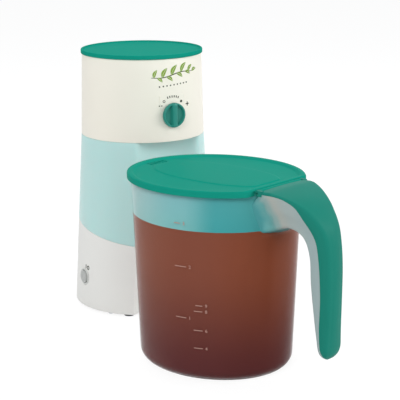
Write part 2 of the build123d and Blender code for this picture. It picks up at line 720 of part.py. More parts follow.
def steeping_basket():
    cavity = basket_cavity()
    body = cone(LINE_R, TOP_R, LINE_Z, RIM_Z) - cavity
    inset = TANK_WALL + BASKET_SKIRT_GAP
    skirt = scooped(inset, LINE_Z - SPIGOT_H, LINE_Z + 0.5)
    body += skirt - scooped(inset + SPIGOT_WALL, LINE_Z - SPIGOT_H - 1, LINE_Z + 1)
    body += column(CHIMNEY_R, LINE_Z, CHIMNEY_TOP_Z)
    body += drain_chamber(cavity)
    low = LINE_Z + BASKET_FLOOR
    rib_l = basket_radius(low) - BASKET_WALL - BASKET_RIB_INSET - BASKET_RIB_START
    rib = Pos(BASKET_RIB_START, 0, low) * Box(rib_l, BASKET_RIB_T, BASKET_RIB_H, align=BEYOND)
    for index in range(BASKET_RIB_COUNT):
        body += Rot(0, 0, 90 + 360 / BASKET_RIB_COUNT * (index + 0.5)) * rib
    body -= column(CHIMNEY_BORE_R, LINE_Z - CUT, CHIMNEY_TOP_Z + 1)
    body -= column(SPOUT_R, LINE_Z - CUT, low + 1, 0, SPOUT_Y)
    body -= rod_y(SEAL_R + FIT_GAP, -FAR / 4, CHAMBER_BACK_Y - CHAMBER_WALL - 1, 0, KNOB_Z)
    body -= rod_y(SHAFT_R + SHAFT_RUN_GAP, -FAR / 4, CHAMBER_BACK_Y + 1, 0, KNOB_Z)
    body -= rod_y(PORT_R, CHAMBER_BACK_Y - CHAMBER_WALL - 1, CHAMBER_BACK_Y + 1, 0, KNOB_Z - PORT_ORBIT_R)
    return body


def knob_seat():
    """Y of the basket's front wall at the knob."""
    return -basket_radius(KNOB_Z)


def knob_back():
    """Y of the knob's flat back, clear of the wall's widest place behind it."""
    return -max(basket_radius(KNOB_Z - KNOB_R), basket_radius(KNOB_Z + KNOB_R)) - KNOB_GAP


def shaft_seal():
    front = knob_seat() - SEAL_PROUD
    body = rod_y(SEAL_R, front, front + BASKET_WALL + 2 * SEAL_PROUD, 0, KNOB_Z)
    return body - rod_y(SHAFT_R + SHAFT_RUN_GAP, -FAR, 0, 0, KNOB_Z)


def strength_knob():
    """Thin round knob; two finger hollows leave a bar across it."""
    back = knob_back()
    front = back - KNOB_T
    body = rod_y(KNOB_R, front, back, 0, KNOB_Z)
    body = fillet(body.edges().sort_by(Axis.Y)[:1], KNOB_EDGE)
    hollows = rod_y(KNOB_R - KNOB_RIM, front - GRIP_H, front + KNOB_HOLLOW, 0, KNOB_Z)
    bar = Pos(0, front, KNOB_Z) * Box(GRIP_W, FAR, FAR)
    body -= hollows - bar
    body += bar & rod_y(KNOB_R - KNOB_EDGE, front - GRIP_H, front + KNOB_HOLLOW, 0, KNOB_Z)
    return body - rod_y(SHAFT_R, back - KNOB_SOCKET_L, back + 1, 0, KNOB_Z)


def disc_front():
    return CHAMBER_BACK_Y + DISC_GAP


def knob_shaft():
    front = knob_back() - KNOB_SOCKET_L
    return rod_y(SHAFT_R, front, disc_front() + DISC_T + CLIP_T + SHAFT_END, 0, KNOB_Z)


def valve_disc():
    front = disc_front()
    disc = rod_y(DISC_R, front, front + DISC_T, 0, KNOB_Z)
    disc -= rod_y(SHAFT_R, -FAR, FAR, 0, KNOB_Z)
    for turn, radius in PORT_SETTINGS:
        x = -PORT_ORBIT_R * sin(radians(turn))
        z = KNOB_Z - PORT_ORBIT_R * cos(radians(turn))
        disc -= rod_y(radius, front - 1, front + DISC_T + 1, x, z)
    return disc


def shaft_clip():
    front = disc_front() + DISC_T
    return rod_y(CLIP_R, front, front + CLIP_T, 0, KNOB_Z) - rod_y(SHAFT_R, -FAR, FAR, 0, KNOB_Z)


# ---- basket lid ----

def revolved(points):
    """Solid of revolution round the brewer's axis from (radius, height) corners."""
    outline = Polyline(*points, close=True)
    return revolve(Plane.XZ * make_face(outline), axis=Axis.Z)


def basket_lid():
    top = BREWER_H
    dish = top - LID_DISH
    under = dish - LID_T
    plug = TOP_R - BASKET_WALL - LID_PLUG_GAP
    low = RIM_Z - LID_PLUG_H
    points = [(0, under), (plug - LID_PLUG_T, under), (plug - LID_PLUG_T, low), (plug, low), (plug, RIM_Z)]
    points += [(LID_R, RIM_Z), (LID_R, top - LID_EDGE), (LID_R - LID_EDGE, top)]
    points += [(LID_R - LID_RIM_W, top), (LID_R - LID_RIM_W - LID_DISH / 2, dish), (0, dish)]
    return revolved(points)


def water_spreader():
    under = BREWER_H - LID_DISH - LID_T
    low = under - SPREADER_DROP
    crown = low + 2 * SPREADER_T
    points = [(0, crown), (SPREADER_R - SPREADER_T, low), (SPREADER_R, low), (SPREADER_R, low + SPREADER_T)]
    points += [(SPREADER_POST_R, crown + SPREADER_T), (SPREADER_POST_R, under), (0, under)]
    return revolved(points)


# ---- pitcher ----

def place_pitcher(shape):
    return Pos(PITCHER_X, PITCHER_Y, 0) * Rot(0, 0, HANDLE_AZIMUTH) * shape


def pitcher_oval(z, inset):
    """Oval section of the pitcher's outside at height z, shrunk by inset."""
    part = z / PITCHER_RIM_Z
    along = PITCHER_FOOT[0] + (PITCHER_TOP[0] - PITCHER_FOOT[0]) * part
    across = PITCHER_FOOT[1] + (PITCHER_TOP[1] - PITCHER_FOOT[1]) * part
    return Pos(0, 0, z) * Ellipse(along - inset, across - inset)


def pitcher_block(inset, z_low, z_high):
    return loft([pitcher_oval(z_low, inset), pitcher_oval(z_high, inset)], ruled=True)


def pitcher_hollow():
    hollow = pitcher_block(PITCHER_WALL, PITCHER_FLOOR, PITCHER_RIM_Z + 1)
    heel = hollow.edges().sort_by(Axis.Z)[:1]
    return fillet(heel, PITCHER_HEEL - PITCHER_WALL)


def shifted(curve, distance, steps=8):
    """Curve that runs beside another, to the right of its direction."""
    points = []
    for index in range(steps + 1):
        tangent = curve % (index / steps)
        points.append(curve @ (index / steps) + Vector(tangent.Y, -tangent.X) * distance)
    return Spline(*points)


def from_rim(*points):
    """Turns (out from the rim's end, down from the rim) into (x, z) points."""
    return [(PITCHER_TOP[0] + out, PITCHER_RIM_Z - drop) for out, drop in points]


def handle_back_curve():
    arc = ThreePointArc(*from_rim(HANDLE_BACK[-1], HANDLE_BACK_HEEL, HANDLE_TIP))
    return [Spline(*from_rim(COVER_ROOT, *HANDLE_BACK)), arc]


def handle_split_curve():
    root = (COVER_ROOT[0], COVER_ROOT[1] + COVER_ROOT_T)
    return [Spline(*from_rim(root, *HANDLE_SPLIT, HANDLE_TIP))]


def handle_front_curve():
    arc = ThreePointArc(*from_rim(HANDLE_FRONT_LOW, HANDLE_FRONT_HEEL, HANDLE_TIP))
    return [Spline(*from_rim(*HANDLE_FRONT, HANDLE_FRONT_LOW)), arc]


def handle_side(outer, inner):
    """Side view between two curves that both end at the handle's tip."""
    root = Line(outer[0] @ 0, inner[0] @ 0)
    return make_face(Wire(outer + inner + [root]))


def handle_width(shrink):
    """Front view of the handle: narrow grip with a round end, flared up to the lid's seam."""
    right = [(half - shrink, PITCHER_RIM_Z - drop) for half, drop in HANDLE_FLARE]
    left = [(-half, z) for half, z in reversed(right)]
    grip = right[0][0]
    root = right[-1][0]
    edges = [Spline(*right), Line(right[-1], (root, FAR / 2)), Line((root, FAR / 2), (-root, FAR / 2))]
    tip = PITCHER_RIM_Z - HANDLE_TIP[1]
    bend = tip + HANDLE_FLARE[0][0]
    edges += [Line((-root, FAR / 2), left[0]), Spline(*left), Line(left[-1], (-grip, bend))]
    edges += [ThreePointArc((-grip, bend), (0, tip + shrink), (grip, bend)), Line((grip, bend), right[0])]
    face = Plane.YZ * make_face(Wire(edges))
    return extrude(face, FAR / 2) & handle_plan(shrink)


def handle_plan(shrink):
    """The handle seen from above: it narrows from the lid's seam to the grip."""
    right = [(PITCHER_TOP[0] + out, half - shrink) for half, out in HANDLE_PLAN]
    left = [(x, -y) for x, y in reversed(right)]
    near = (0, right[0][1])
    edges = [Line(near, right[0]), Spline(*right), Line(right[-1], left[0]), Spline(*left)]
    edges += [Line(left[-1], (0, -near[1])), Line((0, -near[1]), near)]
    return extrude(make_face(Wire(edges)), FAR / 2)


def handle_slice(side, shrink=0.0):
    """The handle between two flat side views, as wide as its front view allows."""
    slab = extrude(Plane.XZ * side, HANDLE_FLARE[-1][0] + 1, both=True)
    return slab & handle_width(shrink)


def handle_hollow():
    """The space inside the two halves of the handle."""
    back = shifted(handle_back_curve()[0], HANDLE_WALL)
    front = shifted(handle_front_curve()[0], -HANDLE_WALL)
    side = make_face(Wire([back, Line(back @ 1, front @ 1), front, Line(front @ 0, back @ 0)]))
    root = Box(2 * (PITCHER_TOP[0] + COVER_ROOT[0] + HANDLE_WALL), FAR, FAR, align=UP)
    return handle_slice(side, HANDLE_WALL) - root


def handle_shell(side):
    """One half of the hollow handle, open to the other half, with its screw bosses."""
    solid = handle_slice(side)
    shell = solid - handle_hollow()
    for x, z in handle_screw_places():
        shell += rod_x(HANDLE_BOSS_R, x - HANDLE_BOSS_T, x + CUT, 0, z) & solid
    return shell


def handle_screw_places():
    return from_rim(*[(HANDLE_SCREW_OUT, drop) for drop in HANDLE_SCREW_DROPS])


def handle_cover():
    cover = handle_shell(handle_side(handle_back_curve(), handle_split_curve()))
    for x, z in handle_screw_places():
        tip = x + HANDLE_SCREW_HEAD_H + HANDLE_SCREW_L
        cover -= rod_x(SCREW_R + SCREW_HOLE_GAP, x, tip + SCREW_TIP_ROOM / 2, 0, z)
    return place_pitcher(cover)


def handle_screws():
    made = []
    for x, z in handle_screw_places():
        neck = x + HANDLE_SCREW_HEAD_H
        made.append(rod_x(SCREW_HEAD_R, x, neck, 0, z) + rod_x(SCREW_R, neck, neck + HANDLE_SCREW_L, 0, z))
    return place_pitcher(Compound(children=made))


def pitcher_body():
    body = pitcher_block(0, 0, PITCHER_RIM_Z)
    body = fillet(body.edges().sort_by(Axis.Z)[:1], PITCHER_HEEL)
    body += handle_shell(handle_side(handle_split_curve(), handle_front_curve()))
    body -= pitcher_hollow()
    for x, z in handle_screw_places():
        body -= rod_x(SCREW_HEAD_R + FIT_GAP, x - CUT, x + HANDLE_SCREW_HEAD_H, 0, z)
        body -= rod_x(SCREW_R + SCREW_HOLE_GAP, x, x + CUT, 0, z)
    body -= hinge_rod(BARREL_R + BARREL_GAP, -BARREL_HALF_L - BARREL_GAP, BARREL_HALF_L + BARREL_GAP)
    for side in (-1, 1):
        near = side * (BARREL_HALF_L + BARREL_GAP)
        far = side * (BARREL_HALF_L + BARREL_GAP + EAR_L)
        body += hinge_rod(BARREL_R, min(near, far), max(near, far))
    body -= hinge_rod(PIN_R + SCREW_HOLE_GAP, -FAR / 4, FAR / 4)
    return place_pitcher(body)


def hinge_rod(radius, y_low, y_high):
    """Cylinder on the lid's hinge axis, in the pitcher's own frame."""
    return rod_y(radius, y_low, y_high, HINGE_X, HINGE_Z)


def hinge_pin():
    half = BARREL_HALF_L + BARREL_GAP + EAR_L
    return place_pitcher(hinge_rod(PIN_R, -half, half))


# ---- pitcher lid ----

def lid_oval(inset, z_low, z_high):
    along, across = PLID_SEMI
    return Pos(0, 0, z_low) * extrude(Ellipse(along - inset, across - inset), z_high - z_low)


def lid_plug():
    low = PITCHER_RIM_Z - PLID_PLUG_H
    high = PITCHER_RIM_Z + PLID_SEAT_GAP + 0.5
    inset = PITCHER_WALL + PLID_PLUG_GAP
    plug = pitcher_block(inset, low, high) - pitcher_block(inset + PLID_PLUG_T, low - 1, high + 1)
    return plug - Pos(PLID_PLUG_END, 0, low - 1) * Box(FAR, FAR, FAR, align=BEYOND)


def pitcher_lid():
    seat = PITCHER_RIM_Z + PLID_SEAT_GAP
    lid = lid_oval(0, PLID_SKIRT_Z, PITCHER_LID_TOP)
    lid = fillet(lid.edges().sort_by(Axis.Z)[-1:], PLID_EDGE)
    lid -= lid_oval(PLID_RIM_W, seat + PLID_T, FAR)
    lid -= lid_oval(PLID_SKIRT_T, PLID_SKIRT_Z - 1, seat)
    lid += lid_plug()
    lid -= Pos(HINGE_X, 0, 0) * Box(FAR, FAR, FAR, align=BEYOND)
    half = BARREL_HALF_L
    corners = Pos(HINGE_X - BARREL_R - BARREL_GAP, 0, 0) * Box(FAR, FAR, FAR, align=BEYOND)
    lid -= corners - Box(FAR, 2 * half, 2 * FAR)
    lid -= Pos(HINGE_X - BARREL_R, 0, 0) * Box(FAR, FAR, seat, align=BEYOND)
    lid += hinge_rod(BARREL_R, -half, half)
    lid -= hinge_rod(PIN_R + PIN_RUN_GAP, -FAR / 4, FAR / 4)
    for index in range(INLET_SLOTS):
        y = (index - (INLET_SLOTS - 1) / 2) * INLET_PITCH
        lid -= Pos(INLET_INSET - PITCHER_TOP[0], y, seat) * Box(*INLET_SLOT, 2 * PLID_T)
    return place_pitcher(lid)


PARTS = (
    base_housing, base_plate, rubber_feet, base_screws,
    switch_bezel, power_button, button_spring, switch_body, switch_bracket, bracket_screws,
    heater_block, water_tube, heating_element, heater_posts, heater_screws, thermostat, thermal_fuse,
    inlet_hose, riser_hose, hose_clamps, outlet_seal, outlet_fitting, outlet_nut, duckbill_valve,
    riser_grommet, riser_tube, reservoir,
    cord_gland, terminal_block, lead_wires,
    steeping_basket, shaft_seal, strength_knob, knob_shaft, valve_disc, shaft_clip,
    basket_lid, water_spreader,
    pitcher_body, handle_cover, handle_screws, hinge_pin, pitcher_lid,
)

os.makedirs("parts", exist_ok=True)
for make in PARTS:
    export_step(make(), f"parts/{make.__name__}.step")
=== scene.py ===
import json
from math import cos, hypot, inf, pi, radians, sin, sqrt

import bmesh
import bpy
import numpy as np
from mathutils import Matrix, Vector


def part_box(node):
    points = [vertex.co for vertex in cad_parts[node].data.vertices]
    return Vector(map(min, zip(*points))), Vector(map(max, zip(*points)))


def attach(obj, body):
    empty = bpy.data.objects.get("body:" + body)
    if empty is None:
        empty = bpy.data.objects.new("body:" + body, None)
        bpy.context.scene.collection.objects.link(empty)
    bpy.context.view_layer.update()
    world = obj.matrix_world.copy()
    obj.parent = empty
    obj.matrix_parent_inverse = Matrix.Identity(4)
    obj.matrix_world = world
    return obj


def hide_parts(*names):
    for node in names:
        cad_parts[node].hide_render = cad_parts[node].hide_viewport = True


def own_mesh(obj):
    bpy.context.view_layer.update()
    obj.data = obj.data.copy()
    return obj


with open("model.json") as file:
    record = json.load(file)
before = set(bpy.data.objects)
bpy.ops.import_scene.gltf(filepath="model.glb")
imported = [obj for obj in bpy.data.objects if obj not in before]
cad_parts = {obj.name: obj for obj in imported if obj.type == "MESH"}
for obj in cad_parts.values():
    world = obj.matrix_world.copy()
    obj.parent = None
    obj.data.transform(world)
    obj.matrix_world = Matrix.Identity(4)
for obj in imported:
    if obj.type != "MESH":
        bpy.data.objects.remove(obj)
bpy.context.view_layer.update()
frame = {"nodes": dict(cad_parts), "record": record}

nodes = frame["nodes"]


# ---- The room: a seamless white table top and soft studio light ----
# The table is pale card that keeps only a faint shadow under the two units. Three large
# diffused lamps and an even surrounding light each surface at a plain level.

CAMERA_PLACE = (-0.7449, -1.3439, 0.4922)
CAMERA_AZIMUTH = 58.58
CAMERA_DOWN = 13.78
CAMERA_ROLL = -0.242
CAMERA_LENS_MM = 123.4
SENSOR_MM = 36.0


def node(tree, kind, settings=None, inputs=None):
    """Adds one node; an input takes a value, or the output socket that feeds it."""
    made = tree.nodes.new(kind)
    for name, value in (settings or {}).items():
        setattr(made, name, value)
    for name, value in (inputs or {}).items():
        if isinstance(value, bpy.types.NodeSocket):
            tree.links.new(value, made.inputs[name])
        else:
            made.inputs[name].default_value = value
    return made


def linear(code, alpha=1.0):
    """An sRGB hex colour as linear values."""
    shares = [int(code[i:i + 2], 16) / 255 for i in (1, 3, 5)]
    return [s / 12.92 if s <= 0.04045 else ((s + 0.055) / 1.055) ** 2.4 for s in shares] + [alpha]


def add_object(name, data):
    """Puts mesh, lamp, camera or text data into the scene as an object."""
    made = bpy.data.objects.new(name, data)
    bpy.context.scene.collection.objects.link(made)
    return made


def empty_tree(owner):
    """The bare node tree of a material or the world."""
    owner.use_nodes = True
    owner.node_tree.nodes.clear()
    return owner.node_tree


def maths(tree, operation, *values):
    """One Math node on values or sockets."""
    return node(tree, "ShaderNodeMath", {"operation": operation}, dict(enumerate(values))).outputs[0]


def mixed(tree, share, first, second):
    """A mix of two shader nodes."""
    return node(tree, "ShaderNodeMixShader", None, {0: share, 1: first.outputs[0], 2: second.outputs[0]})


def seen_directly(tree):
    """One for rays from the camera, and for what gloss and clear plastic show of the room."""
    path = node(tree, "ShaderNodeLightPath").outputs
    direct = maths(tree, "MAXIMUM", path["Is Camera Ray"], path["Is Glossy Ray"])
    return maths(tree, "MAXIMUM", direct, path["Is Transmission Ray"])


camera_data = bpy.data.cameras.new("studio_camera")
camera_data.lens = CAMERA_LENS_MM
camera_data.sensor_width = SENSOR_MM
camera = add_object("studio_camera", camera_data)
aim = Matrix.Rotation(radians(CAMERA_AZIMUTH - 90), 4, "Z")
aim @= Matrix.Rotation(radians(90 - CAMERA_DOWN), 4, "X")
aim @= Matrix.Rotation(radians(CAMERA_ROLL), 4, "Z")
camera.matrix_world = Matrix.Translation(CAMERA_PLACE) @ aim
bpy.context.scene.camera = camera
bpy.context.scene.view_settings.view_transform = "Standard"

SURROUND = "#b4b6b8"
world = bpy.data.worlds.new("studio")
bpy.context.scene.world = world
tree = empty_tree(world)
lit = node(tree, "ShaderNodeBackground", None, {"Color": linear(SURROUND), "Strength": 1.0})
shown = node(tree, "ShaderNodeBackground", None, {"Color": (1, 1, 1, 1), "Strength": 1.0})
both = mixed(tree, seen_directly(tree), lit, shown)
node(tree, "ShaderNodeOutputWorld", None, {"Surface": both.outputs[0]})

LAMPS_AIM = (-0.02, -0.1, 0.14)
LAMPS = (
    ("key_lamp", (-1.75, -1.35, 1.55), 1.1, 25.0),
    ("fill_lamp", (1.55, -1.45, 1.0), 1.2, 22.0),
    ("top_lamp", (0.15, 0.55, 2.0), 1.2, 14.0),
)
for name, place, across, watts in LAMPS:
    lamp_data = bpy.data.lights.new(name, "AREA")
    lamp_data.shape = "DISK"
    lamp_data.size = across
    lamp_data.energy = watts
    lamp = add_object(name, lamp_data)
    lamp.visible_transmission = False
    towards = Vector(LAMPS_AIM) - Vector(place)
    aim = towards.to_track_quat("-Z", "Y").to_matrix().to_4x4()
    lamp.matrix_world = Matrix.Translation(place) @ aim

TABLE_HALF = 6.0
TABLE_SHADOW = 0.2
TABLE_GLOW = 1.1
corners = [(x * TABLE_HALF, y * TABLE_HALF, 0) for x, y in ((-1, -1), (1, -1), (1, 1), (-1, 1))]
table_mesh = bpy.data.meshes.new("table_top")
table_mesh.from_pydata(corners, [], [(0, 1, 2, 3)])
table = add_object("table_top", table_mesh)
white_card = bpy.data.materials.new("white_card")
tree = empty_tree(white_card)
card = node(tree, "ShaderNodeBsdfDiffuse", None, {"Color": linear("#f0f0f0")})
glow = node(tree, "ShaderNodeEmission", None, {"Color": (1, 1, 1, 1), "Strength": TABLE_GLOW})
share = maths(tree, "MULTIPLY", seen_directly(tree), 1 - TABLE_SHADOW)
node(tree, "ShaderNodeOutputMaterial", None, {"Surface": mixed(tree, share, card, glow).outputs[0]})
table_mesh.materials.append(white_card)


# ---- Brewer base: the pale grey shell round the heater ----
# One ABS moulding, tapered, scooped in front for the pitcher and cut on a slope at its top,
# where the water tank is plugged in. Its edges are softly rounded, as moulded edges are.

MM = 0.001
BASE_LOW_MM = 3.0
BASE_RADIUS_MM = 79.9
LINE_RADIUS_MM = 69.35
LINE_HEIGHT_MM = 196.6
JOINT_HEIGHT_MM = 93.0
JOINT_SLOPE = 0.2
DOCK_CENTRE_MM = 132.35
DOCK_RADIUS_MM = 84.0
DOCK_CORNER_MM = 6.0
BASE_WALL_MM = 2.6
EDGE_MM = 0.8
BUTTON_HEIGHT_MM = 37.0
BEZEL_SEAT_MM = 76.65
BEZEL_SEAT_RADIUS_MM = 9.7
BEZEL_HOLE_RADIUS_MM = 8.6
GLAND_HEIGHT_MM = 22.0
GLAND_SEAT_MM = 77.56
GLAND_SEAT_RADIUS_MM = 9.1
GLAND_HOLE_RADIUS_MM = 6.6
BEHIND_WALL_MM = 60.0
OUTSIDE_MM = 99.0
DRIFT_MM = 45.0


def patterned(name):
    """A new material, its empty tree and the piece's own coordinates in it."""
    material = bpy.data.materials.new(name)
    tree = empty_tree(material)
    return material, tree, node(tree, "ShaderNodeTexCoord").outputs["Object"]


def noise(tree, place, lump_mm, detail):
    """Cloudy noise with lumps of a size in millimetres."""
    values = {"Vector": place, "Scale": 1 / (lump_mm * MM), "Detail": detail}
    return node(tree, "ShaderNodeTexNoise", None, values).outputs["Fac"]


def blend(tree, share, first, second):
    """A colour between two, which are values or sockets."""
    return node(tree, "ShaderNodeMix", {"data_type": "RGBA"}, {0: share, 6: first, 7: second}).outputs[2]


def from_to(tree, value, low, high):
    """Spreads a value of 0 to 1 over low to high."""
    values = {"Value": value, "To Min": low, "To Max": high}
    return node(tree, "ShaderNodeMapRange", None, values).outputs[0]


def relief(tree, height, strength, deep_mm=0.1):
    """Fine bumps of a depth in millimetres."""
    values = {"Height": height, "Strength": strength, "Distance": deep_mm * MM}
    return node(tree, "ShaderNodeBump", None, values).outputs[0]


def surface(tree, shader):
    """Ends a material's tree with a shader, or with Principled and its inputs."""
    if isinstance(shader, dict):
        shader = node(tree, "ShaderNodeBsdfPrincipled", None, shader)
    node(tree, "ShaderNodeOutputMaterial", None, {"Surface": shader.outputs[0]})


def plastic(name, colour, drift, rough, grain_mm=0.6, grain=0.12, streak=0.0, gloss=0.5, **more):
    """A moulded plastic: two close colours that drift over the piece, and a fine eroded grain."""
    material, tree, place = patterned(name)
    wide = node(tree, "ShaderNodeMapping", None, {"Vector": place, "Scale": (1, 1, 1 - streak)})
    cloud = noise(tree, wide.outputs[0], DRIFT_MM, 2.0)
    surface(tree, {"Base Color": blend(tree, cloud, linear(colour), linear(drift)),
                   "Roughness": from_to(tree, cloud, rough - 0.04, rough + 0.06), "Specular IOR Level": gloss,
                   "Normal": relief(tree, noise(tree, place, grain_mm, 3.0), grain), **more})
    return material


def softened(mesh, smooth=38):
    """Shades a mesh softly but for edges sharper than the smooth angle."""
    mesh.polygons.foreach_set("use_smooth", [True] * len(mesh.polygons))
    mesh.set_sharp_from_angle(angle=radians(smooth))


def add_piece(name, mesh, material, smooth=38):
    """Makes a finished piece of a mesh."""
    mesh.materials.clear()
    mesh.materials.append(material)
    softened(mesh, smooth)
    return add_object(name, mesh)


def result_of(piece):
    """A mesh of what a piece's modifiers, or its text, come to."""
    bpy.context.view_layer.update()
    return bpy.data.meshes.new_from_object(piece.evaluated_get(bpy.context.evaluated_depsgraph_get()))


def lofted(name, rings, joined=False, capped=True):
    """A mesh through closed rings; joined runs the last ring back to the first."""
    rings = np.array(rings, float) * MM
    count, around = rings.shape[:2]
    points = rings.reshape(-1, 3).tolist()
    faces = []
    for low in range(count - (not joined)):
        high = (low + 1) % count
        for side in range(around):
            other = (side + 1) % around
            faces.append((low * around + side, low * around + other,
                          high * around + other, high * around + side))
    if capped and not joined:
        for ring, turn in ((0, -1), (count - 1, 1)):
            middle = len(points)
            points.append(rings[ring].mean(axis=0).tolist())
            for side in range(around)[::turn]:
                faces.append((ring * around + side, ring * around + (side + turn) % around, middle))
    mesh = bpy.data.meshes.new(name)
    mesh.from_pydata(points, [], faces)
    return mesh


def hand_over(piece, body, slot, *stands_for):
    """Parents a piece to the body it moves with and hides the CAD nodes it stands for; slot is not used."""
    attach(piece, body)
    if stands_for:
        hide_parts(*stands_for)


def round_turns(steps):
    """Even angles round a full turn."""
    return np.linspace(0, 2 * pi, steps, endpoint=False)


def rod(start, end, radius, steps=48):
    """A closed cylinder between two points, in millimetres, as a mesh."""
    start, end = Vector(start), Vector(end)
    turn = (end - start).to_track_quat("Z", "Y")
    rings = []
    for place in (start, end):
        ring = [place + turn @ Vector((radius * cos(a), radius * sin(a), 0))
                for a in round_turns(steps)]
        rings.append(ring)
    return lofted("rod", rings)


def carve(piece, shapes, operation="DIFFERENCE"):
    """Cuts shapes out of a piece, or adds them, and keeps the result as its mesh."""
    carvers = [add_object("carver", shape) for shape in shapes]
    for carver in carvers:
        cut = piece.modifiers.new("cut", "BOOLEAN")
        cut.operation = operation
        cut.solver = "EXACT"
        cut.object = carver
    whole = piece.data
    piece.data = result_of(piece)
    piece.modifiers.clear()
    for carver in carvers:
        bpy.data.objects.remove(carver)
    for mesh in (whole, *shapes):
        bpy.data.meshes.remove(mesh)
    softened(piece.data)


def clamped(value):
    """A value held between 0 and 1."""
    return min(max(value, 0), 1)


def soft_min(a, b, blend):
    """The smaller of two distances, with the corner between them rounded."""
    if b == inf:
        return a
    share = clamped(0.5 + (b - a) / (2 * blend))
    return b + (a - b) * share - blend * share * (1 - share)


def lower_radius(height):
    """Outer radius of the base and tank at a height."""
    part = (height - BASE_LOW_MM) / (LINE_HEIGHT_MM - BASE_LOW_MM)
    return BASE_RADIUS_MM + (LINE_RADIUS_MM - BASE_RADIUS_MM) * part


def dock_distance(turn, inset):
    """From the axis to the dock's wall, in a direction measured from the front."""
    reach = DOCK_RADIUS_MM + inset
    room = reach ** 2 - (DOCK_CENTRE_MM * sin(turn)) ** 2
    if room < 0 or cos(turn) < 0:
        return inf
    return DOCK_CENTRE_MM * cos(turn) - sqrt(room)


TOWER_TURNS = [radians(t) for t in (*np.arange(-27, 27.1, 3), *np.arange(28, 42, 0.5),
                                    *np.arange(43, 317.1, 2), *np.arange(318.5, 332.4, 0.5))]
FIRST_GUESS_MM = 75.0


def tower_ring(inset, low, high, share, lift):
    """Ring of the scooped tower, part of the way between two planes given as (height, slope).

    A point's height and its place depend on each other, so each is found in three rounds.
    """
    ring = []
    for turn in TOWER_TURNS:
        y = -FIRST_GUESS_MM * cos(turn)
        for _ in range(3):
            z = (low[0] + low[1] * y) * (1 - share) + (high[0] + high[1] * y) * share + lift
            r = soft_min(lower_radius(z) - inset, dock_distance(turn, inset), DOCK_CORNER_MM)
            y = -r * cos(turn)
        ring.append((r * sin(turn), y, z))
    return ring


def tower_middle(ring, plane, lift, share=0.1):
    """A small ring in the middle of a floor, shaped like the floor's outer ring."""
    return [(x * share, y * share, plane[0] + plane[1] * y * share + lift) for x, y, z in ring]


def rounded(edge, steps=3):
    """(inset, lift) steps round a convex edge, from its side to its top."""
    turns = [pi / 2 * k / steps for k in range(steps + 1)]
    return [(edge * (1 - cos(t)), edge * (sin(t) - 1)) for t in turns]


base_plane = (BASE_LOW_MM, 0.0)
joint_plane = (JOINT_HEIGHT_MM, JOINT_SLOPE)
line_plane = (LINE_HEIGHT_MM, 0.0)
rings = [tower_ring(i, base_plane, joint_plane, 0, -l) for i, l in reversed(rounded(EDGE_MM))]
rings += [tower_ring(0, base_plane, joint_plane, s, 0) for s in (0.12, 0.25, 0.4, 0.55, 0.7, 0.85)]
rings += [tower_ring(i, base_plane, joint_plane, 1, l) for i, l in rounded(EDGE_MM)]
rings += [tower_ring(BASE_WALL_MM, base_plane, joint_plane, s, 0) for s in (1, 0.75, 0.5, 0.25, 0)]
# Moulded ABS with a satin skin: an even pale warm grey with the faintest drift of tone.
satin_grey_abs = plastic("satin_grey_abs", "#e4e3df", "#e9e8e4", 0.42, gloss=0.3)
base = add_piece("base_shell", lofted("base_shell", rings, joined=True), satin_grey_abs)
carve(base, [
    *[rod((-start, 0, BUTTON_HEIGHT_MM), (-OUTSIDE_MM, 0, BUTTON_HEIGHT_MM), radius) for start, radius in
      ((BEZEL_SEAT_MM, BEZEL_SEAT_RADIUS_MM), (BEHIND_WALL_MM, BEZEL_HOLE_RADIUS_MM))],
    *[rod((0, start, GLAND_HEIGHT_MM), (0, OUTSIDE_MM, GLAND_HEIGHT_MM), radius) for start, radius in
      ((GLAND_SEAT_MM, GLAND_SEAT_RADIUS_MM), (BEHIND_WALL_MM, GLAND_HOLE_RADIUS_MM))],
])
hand_over(base, "brewer", "grey_shell", "base_housing")


# ---- Water tank: the aqua sleeve between the base and the basket ----
# Injection-moulded tinted SAN, a little cloudy, so the wall glows softly and hides the water.
# Its sloping floor rests in the base, with a skirt inside it and bosses for the two water ways.

TANK_WALL_MM = 2.2
TANK_FLOOR_MM = 2.5
SKIRT_DROP_MM = 6.0
OUTLET_X_MM = 19.5
OUTLET_Y_MM = -30.0
OUTLET_BOSS_RADIUS_MM = 10.0
OUTLET_BORE_RADIUS_MM = 6.1
RISER_BOSS_RADIUS_MM = 11.0
RISER_BORE_RADIUS_MM = 7.1
RISER_BOSS_MM = (84, 100)
BORES_MM = (70, 120)
skirt_out = BASE_WALL_MM + 0.3
skirt_in = skirt_out + 2.0
rings = []
for inset, lift in ((skirt_in, 0), (skirt_in, -SKIRT_DROP_MM), (skirt_out, -SKIRT_DROP_MM),
                    (skirt_out, 0), *[(i, -l) for i, l in reversed(rounded(EDGE_MM))]):
    rings.append(tower_ring(inset, joint_plane, line_plane, 0, lift))
rings.insert(0, tower_middle(rings[0], joint_plane, 0))
rings += [tower_ring(0, joint_plane, line_plane, s, 0) for s in np.arange(0.1, 0.91, 0.1)]
rings += [tower_ring(i, joint_plane, line_plane, 1, l) for i, l in rounded(EDGE_MM / 2)]
rings += [tower_ring(TANK_WALL_MM, joint_plane, line_plane, s, 0) for s in (1, 0.75, 0.5, 0.25, 0.06)]
rings.append(tower_ring(TANK_WALL_MM, joint_plane, line_plane, 0, TANK_FLOOR_MM))
rings.append(tower_middle(rings[-1], joint_plane, TANK_FLOOR_MM))
